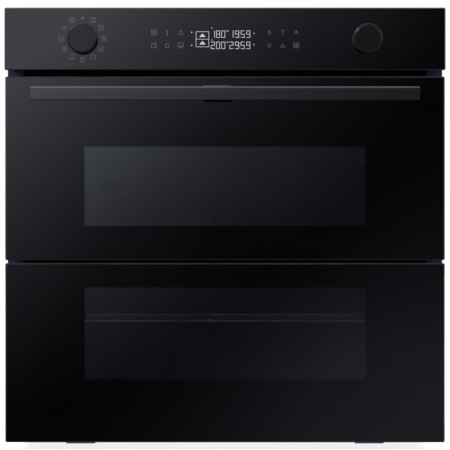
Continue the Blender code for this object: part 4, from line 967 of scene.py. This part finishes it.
CAMERA_DISTANCE = 4.0  # from the glass
CAMERA_HEIGHT = 0.3027
CAMERA_LENS = 237.3

# Glows on the studio wall as the glass mirrors them: place (x, z), reach and width in metres,
# and the screen level (0 to 255) that each adds to BASE_LEVEL in the mirror image.
KEY_GLOW = ((-0.591, 0.731), 1.041, 0.434, 61.5)
FLOOR_GLOW = ((0.215, -0.272), 0.441, 0.336, 25.0)
HOOD_SHADE = ((0.0, 0.0), 0.353, 0.353, -17.2)
BASE_LEVEL, LEAST_LEVEL = 2.6, 0.5
GLASS_REFLECTANCE = 0.0426
LEAST_SLOPE = 0.05  # keeps divisions away from zero
KEY_TONE = (0.945, 0.99, 1.13, 1.0)
FLOOR_TONE = (0.90, 0.99, 1.23, 1.0)
WALL_EDGE = (15.0, 42.0)  # degrees off straight ahead, where the wall meets the room
ROOM_NADIR, ROOM_HORIZON, ROOM_ZENITH = (0.16, 0.16, 0.165), (0.62, 0.625, 0.635), 1.0
OVERHEAD_FROM, OVERHEAD_SPAN = 0.6, 0.3
ZENITH_LIFT = 0.75  # extra light overhead, left of the middle
ZENITH_SIDE = (-15.0, 0.05)  # slope and level of its sideways fade
WHITE = (1.0, 1.0, 1.0, 1.0)


def build_world():
    """A dark studio wall with two soft glows in front of the oven, and a pale room around."""
    tree = Tree(bpy.data.worlds.new("studio"))
    bpy.context.scene.world = tree.owner
    tree.nodes.clear()

    def maths(operation, *values, clamp=False):
        return tree.add("Math", dict(enumerate(values)), operation=operation,
                        use_clamp=clamp).outputs[0]

    def line(value, slope, level, clamp=False):
        return maths("ADD", maths("MULTIPLY", value, slope), level, clamp=clamp)

    way = tree.add("TexCoord", {}).outputs["Generated"]
    x, y, z = tree.add("SeparateXYZ", {0: way}).outputs
    forward = maths("MULTIPLY", y, -1.0)
    ahead = maths("DIVIDE", maths("MAXIMUM", forward, LEAST_SLOPE), CAMERA_DISTANCE)
    across, up = maths("DIVIDE", x, ahead), maths("DIVIDE", z, ahead)
    level = BASE_LEVEL
    for (glow_x, glow_z), reach, width, strength in (KEY_GLOW, FLOOR_GLOW, HOOD_SHADE):
        distance = maths("SQRT", maths(
            "ADD", maths("POWER", maths("SUBTRACT", across, glow_x), 2.0),
            maths("POWER", maths("SUBTRACT", up, glow_z), 2.0)))
        near = maths("DIVIDE", maths("SUBTRACT", reach, distance), width, clamp=True)
        level = line(near, strength, level)
    level = maths("DIVIDE", maths("MAXIMUM", level, LEAST_LEVEL), 255.0)
    # The usual conversion of a screen level to light.
    light = maths("POWER", maths("DIVIDE", maths("ADD", level, 0.055), 1.055), 2.4)
    side = line(maths("SUBTRACT", across, up), 0.7, 0.5, clamp=True)
    glow = tree.scaled(tree.mix(side, KEY_TONE, FLOOR_TONE),
                       maths("DIVIDE", light, GLASS_REFLECTANCE))

    overhead = maths("DIVIDE", maths("SUBTRACT", z, OVERHEAD_FROM), OVERHEAD_SPAN, clamp=True)
    leftwards = line(maths("DIVIDE", x, maths("MAXIMUM", z, LEAST_SLOPE)), *ZENITH_SIDE,
                     clamp=True)
    lift = line(maths("MULTIPLY", overhead, leftwards), ZENITH_LIFT, 1.0)
    room = tree.ramp(line(z, 0.5, 0.5), ROOM_NADIR, ROOM_ZENITH, 0.0, 1.0)
    room.node.color_ramp.elements.new(0.5).color = (*ROOM_HORIZON, 1.0)
    edge = tree.add("MapRange", {"Value": forward,
                                 "From Min": math.cos(math.radians(WALL_EDGE[0])),
                                 "From Max": math.cos(math.radians(WALL_EDGE[1]))},
                    interpolation_type="SMOOTHSTEP").outputs[0]
    around = tree.mix(edge, glow, tree.scaled(room, lift))
    seen = tree.mix(tree.add("LightPath", {}).outputs["Is Camera Ray"], around, WHITE)
    background = tree.add("Background", {"Color": seen}).outputs[0]
    tree.add("OutputWorld", {"Surface": background})


def build_floor():
    """A pale floor that neither shows in the glass nor lights the oven from below."""
    tree = new_material("pale_floor")
    made = tree.finish(Base_Color=tree.ramp(tree.noise(1.5), 0.50, 0.54), Roughness=0.8,
                       Emission_Color=WHITE, Emission_Strength=0.80)
    shape = bmesh.new()
    bmesh.ops.create_grid(shape, x_segments=1, y_segments=1, size=14.0)
    floor = new_object("floor", shape, [made])
    floor.location.z = -0.5 * MM
    floor.visible_glossy = False
    floor.visible_transmission = False
    floor.visible_diffuse = False


# Name, place, size and power; all point at LIGHT_TARGET.
LIGHTS = (("key", (-1.75, -1.7, 2.3), 1.2, 38.0), ("fill", (2.4, -1.9, 1.5), 1.8, 12.0),
          ("back", (1.2, 2.9, 1.7), 2.2, 18.0))
LIGHT_TARGET = (0.0, 0.0, 0.3)
SHELF_LIGHT = (Vector((-0.12, -1.6, 0.13)), 0.30, 2.6)  # place from the shelf, size, power


def add_light(name, place, target, size, power):
    data = bpy.data.lights.new(name, "AREA")
    data.shape = "SQUARE"
    data.size = size
    data.energy = power
    light = bpy.data.objects.new(name, data)
    light.location = place
    light.rotation_euler = (Vector(target) - Vector(place)).to_track_quat("-Z", "Y").to_euler()
    bpy.context.scene.collection.objects.link(light)
    return light


def build_lights(shelf):
    """Three soft lights, and a weak one that reaches only the shelf through the window."""
    for name, place, size, power in LIGHTS:
        add_light(name, place, LIGHT_TARGET, size, power)
    low, high = box_of("wire_rack")
    target = Vector((0.0, low.y, high.z))
    away, size, power = SHELF_LIGHT
    light = add_light("shelf_light", target + away, target, size, power)
    light.visible_camera = False
    light.visible_transmission = False
    lit = bpy.data.collections.new("shelf_light_reach")
    lit.objects.link(shelf)
    light.light_linking.receiver_collection = lit
    light.light_linking.blocker_collection = lit


def build_camera():
    """Straight from the front, as the photograph was taken."""
    data = bpy.data.cameras.new("camera")
    data.lens = CAMERA_LENS
    camera = bpy.data.objects.new("camera", data)
    camera.location = (0.0, box_of("upper_outer_glass")[0].y - CAMERA_DISTANCE, CAMERA_HEIGHT)
    camera.rotation_euler = (math.radians(90.0), 0.0, 0.0)
    bpy.context.scene.collection.objects.link(camera)
    bpy.context.scene.camera = camera


def main():
    dress_frame()
    build_glass_fronts()
    build_middle_panes()
    build_panel_marks()
    build_knobs()
    build_handle()
    shelf = build_wire_rack()
    build_cavity_details()
    build_door_details()
    build_seals_and_louvres()
    build_case_details()
    build_cable_gland()
    build_world()
    build_floor()
    build_lights(shelf)
    build_camera()
    bpy.context.scene.view_settings.view_transform = "Standard"


main()
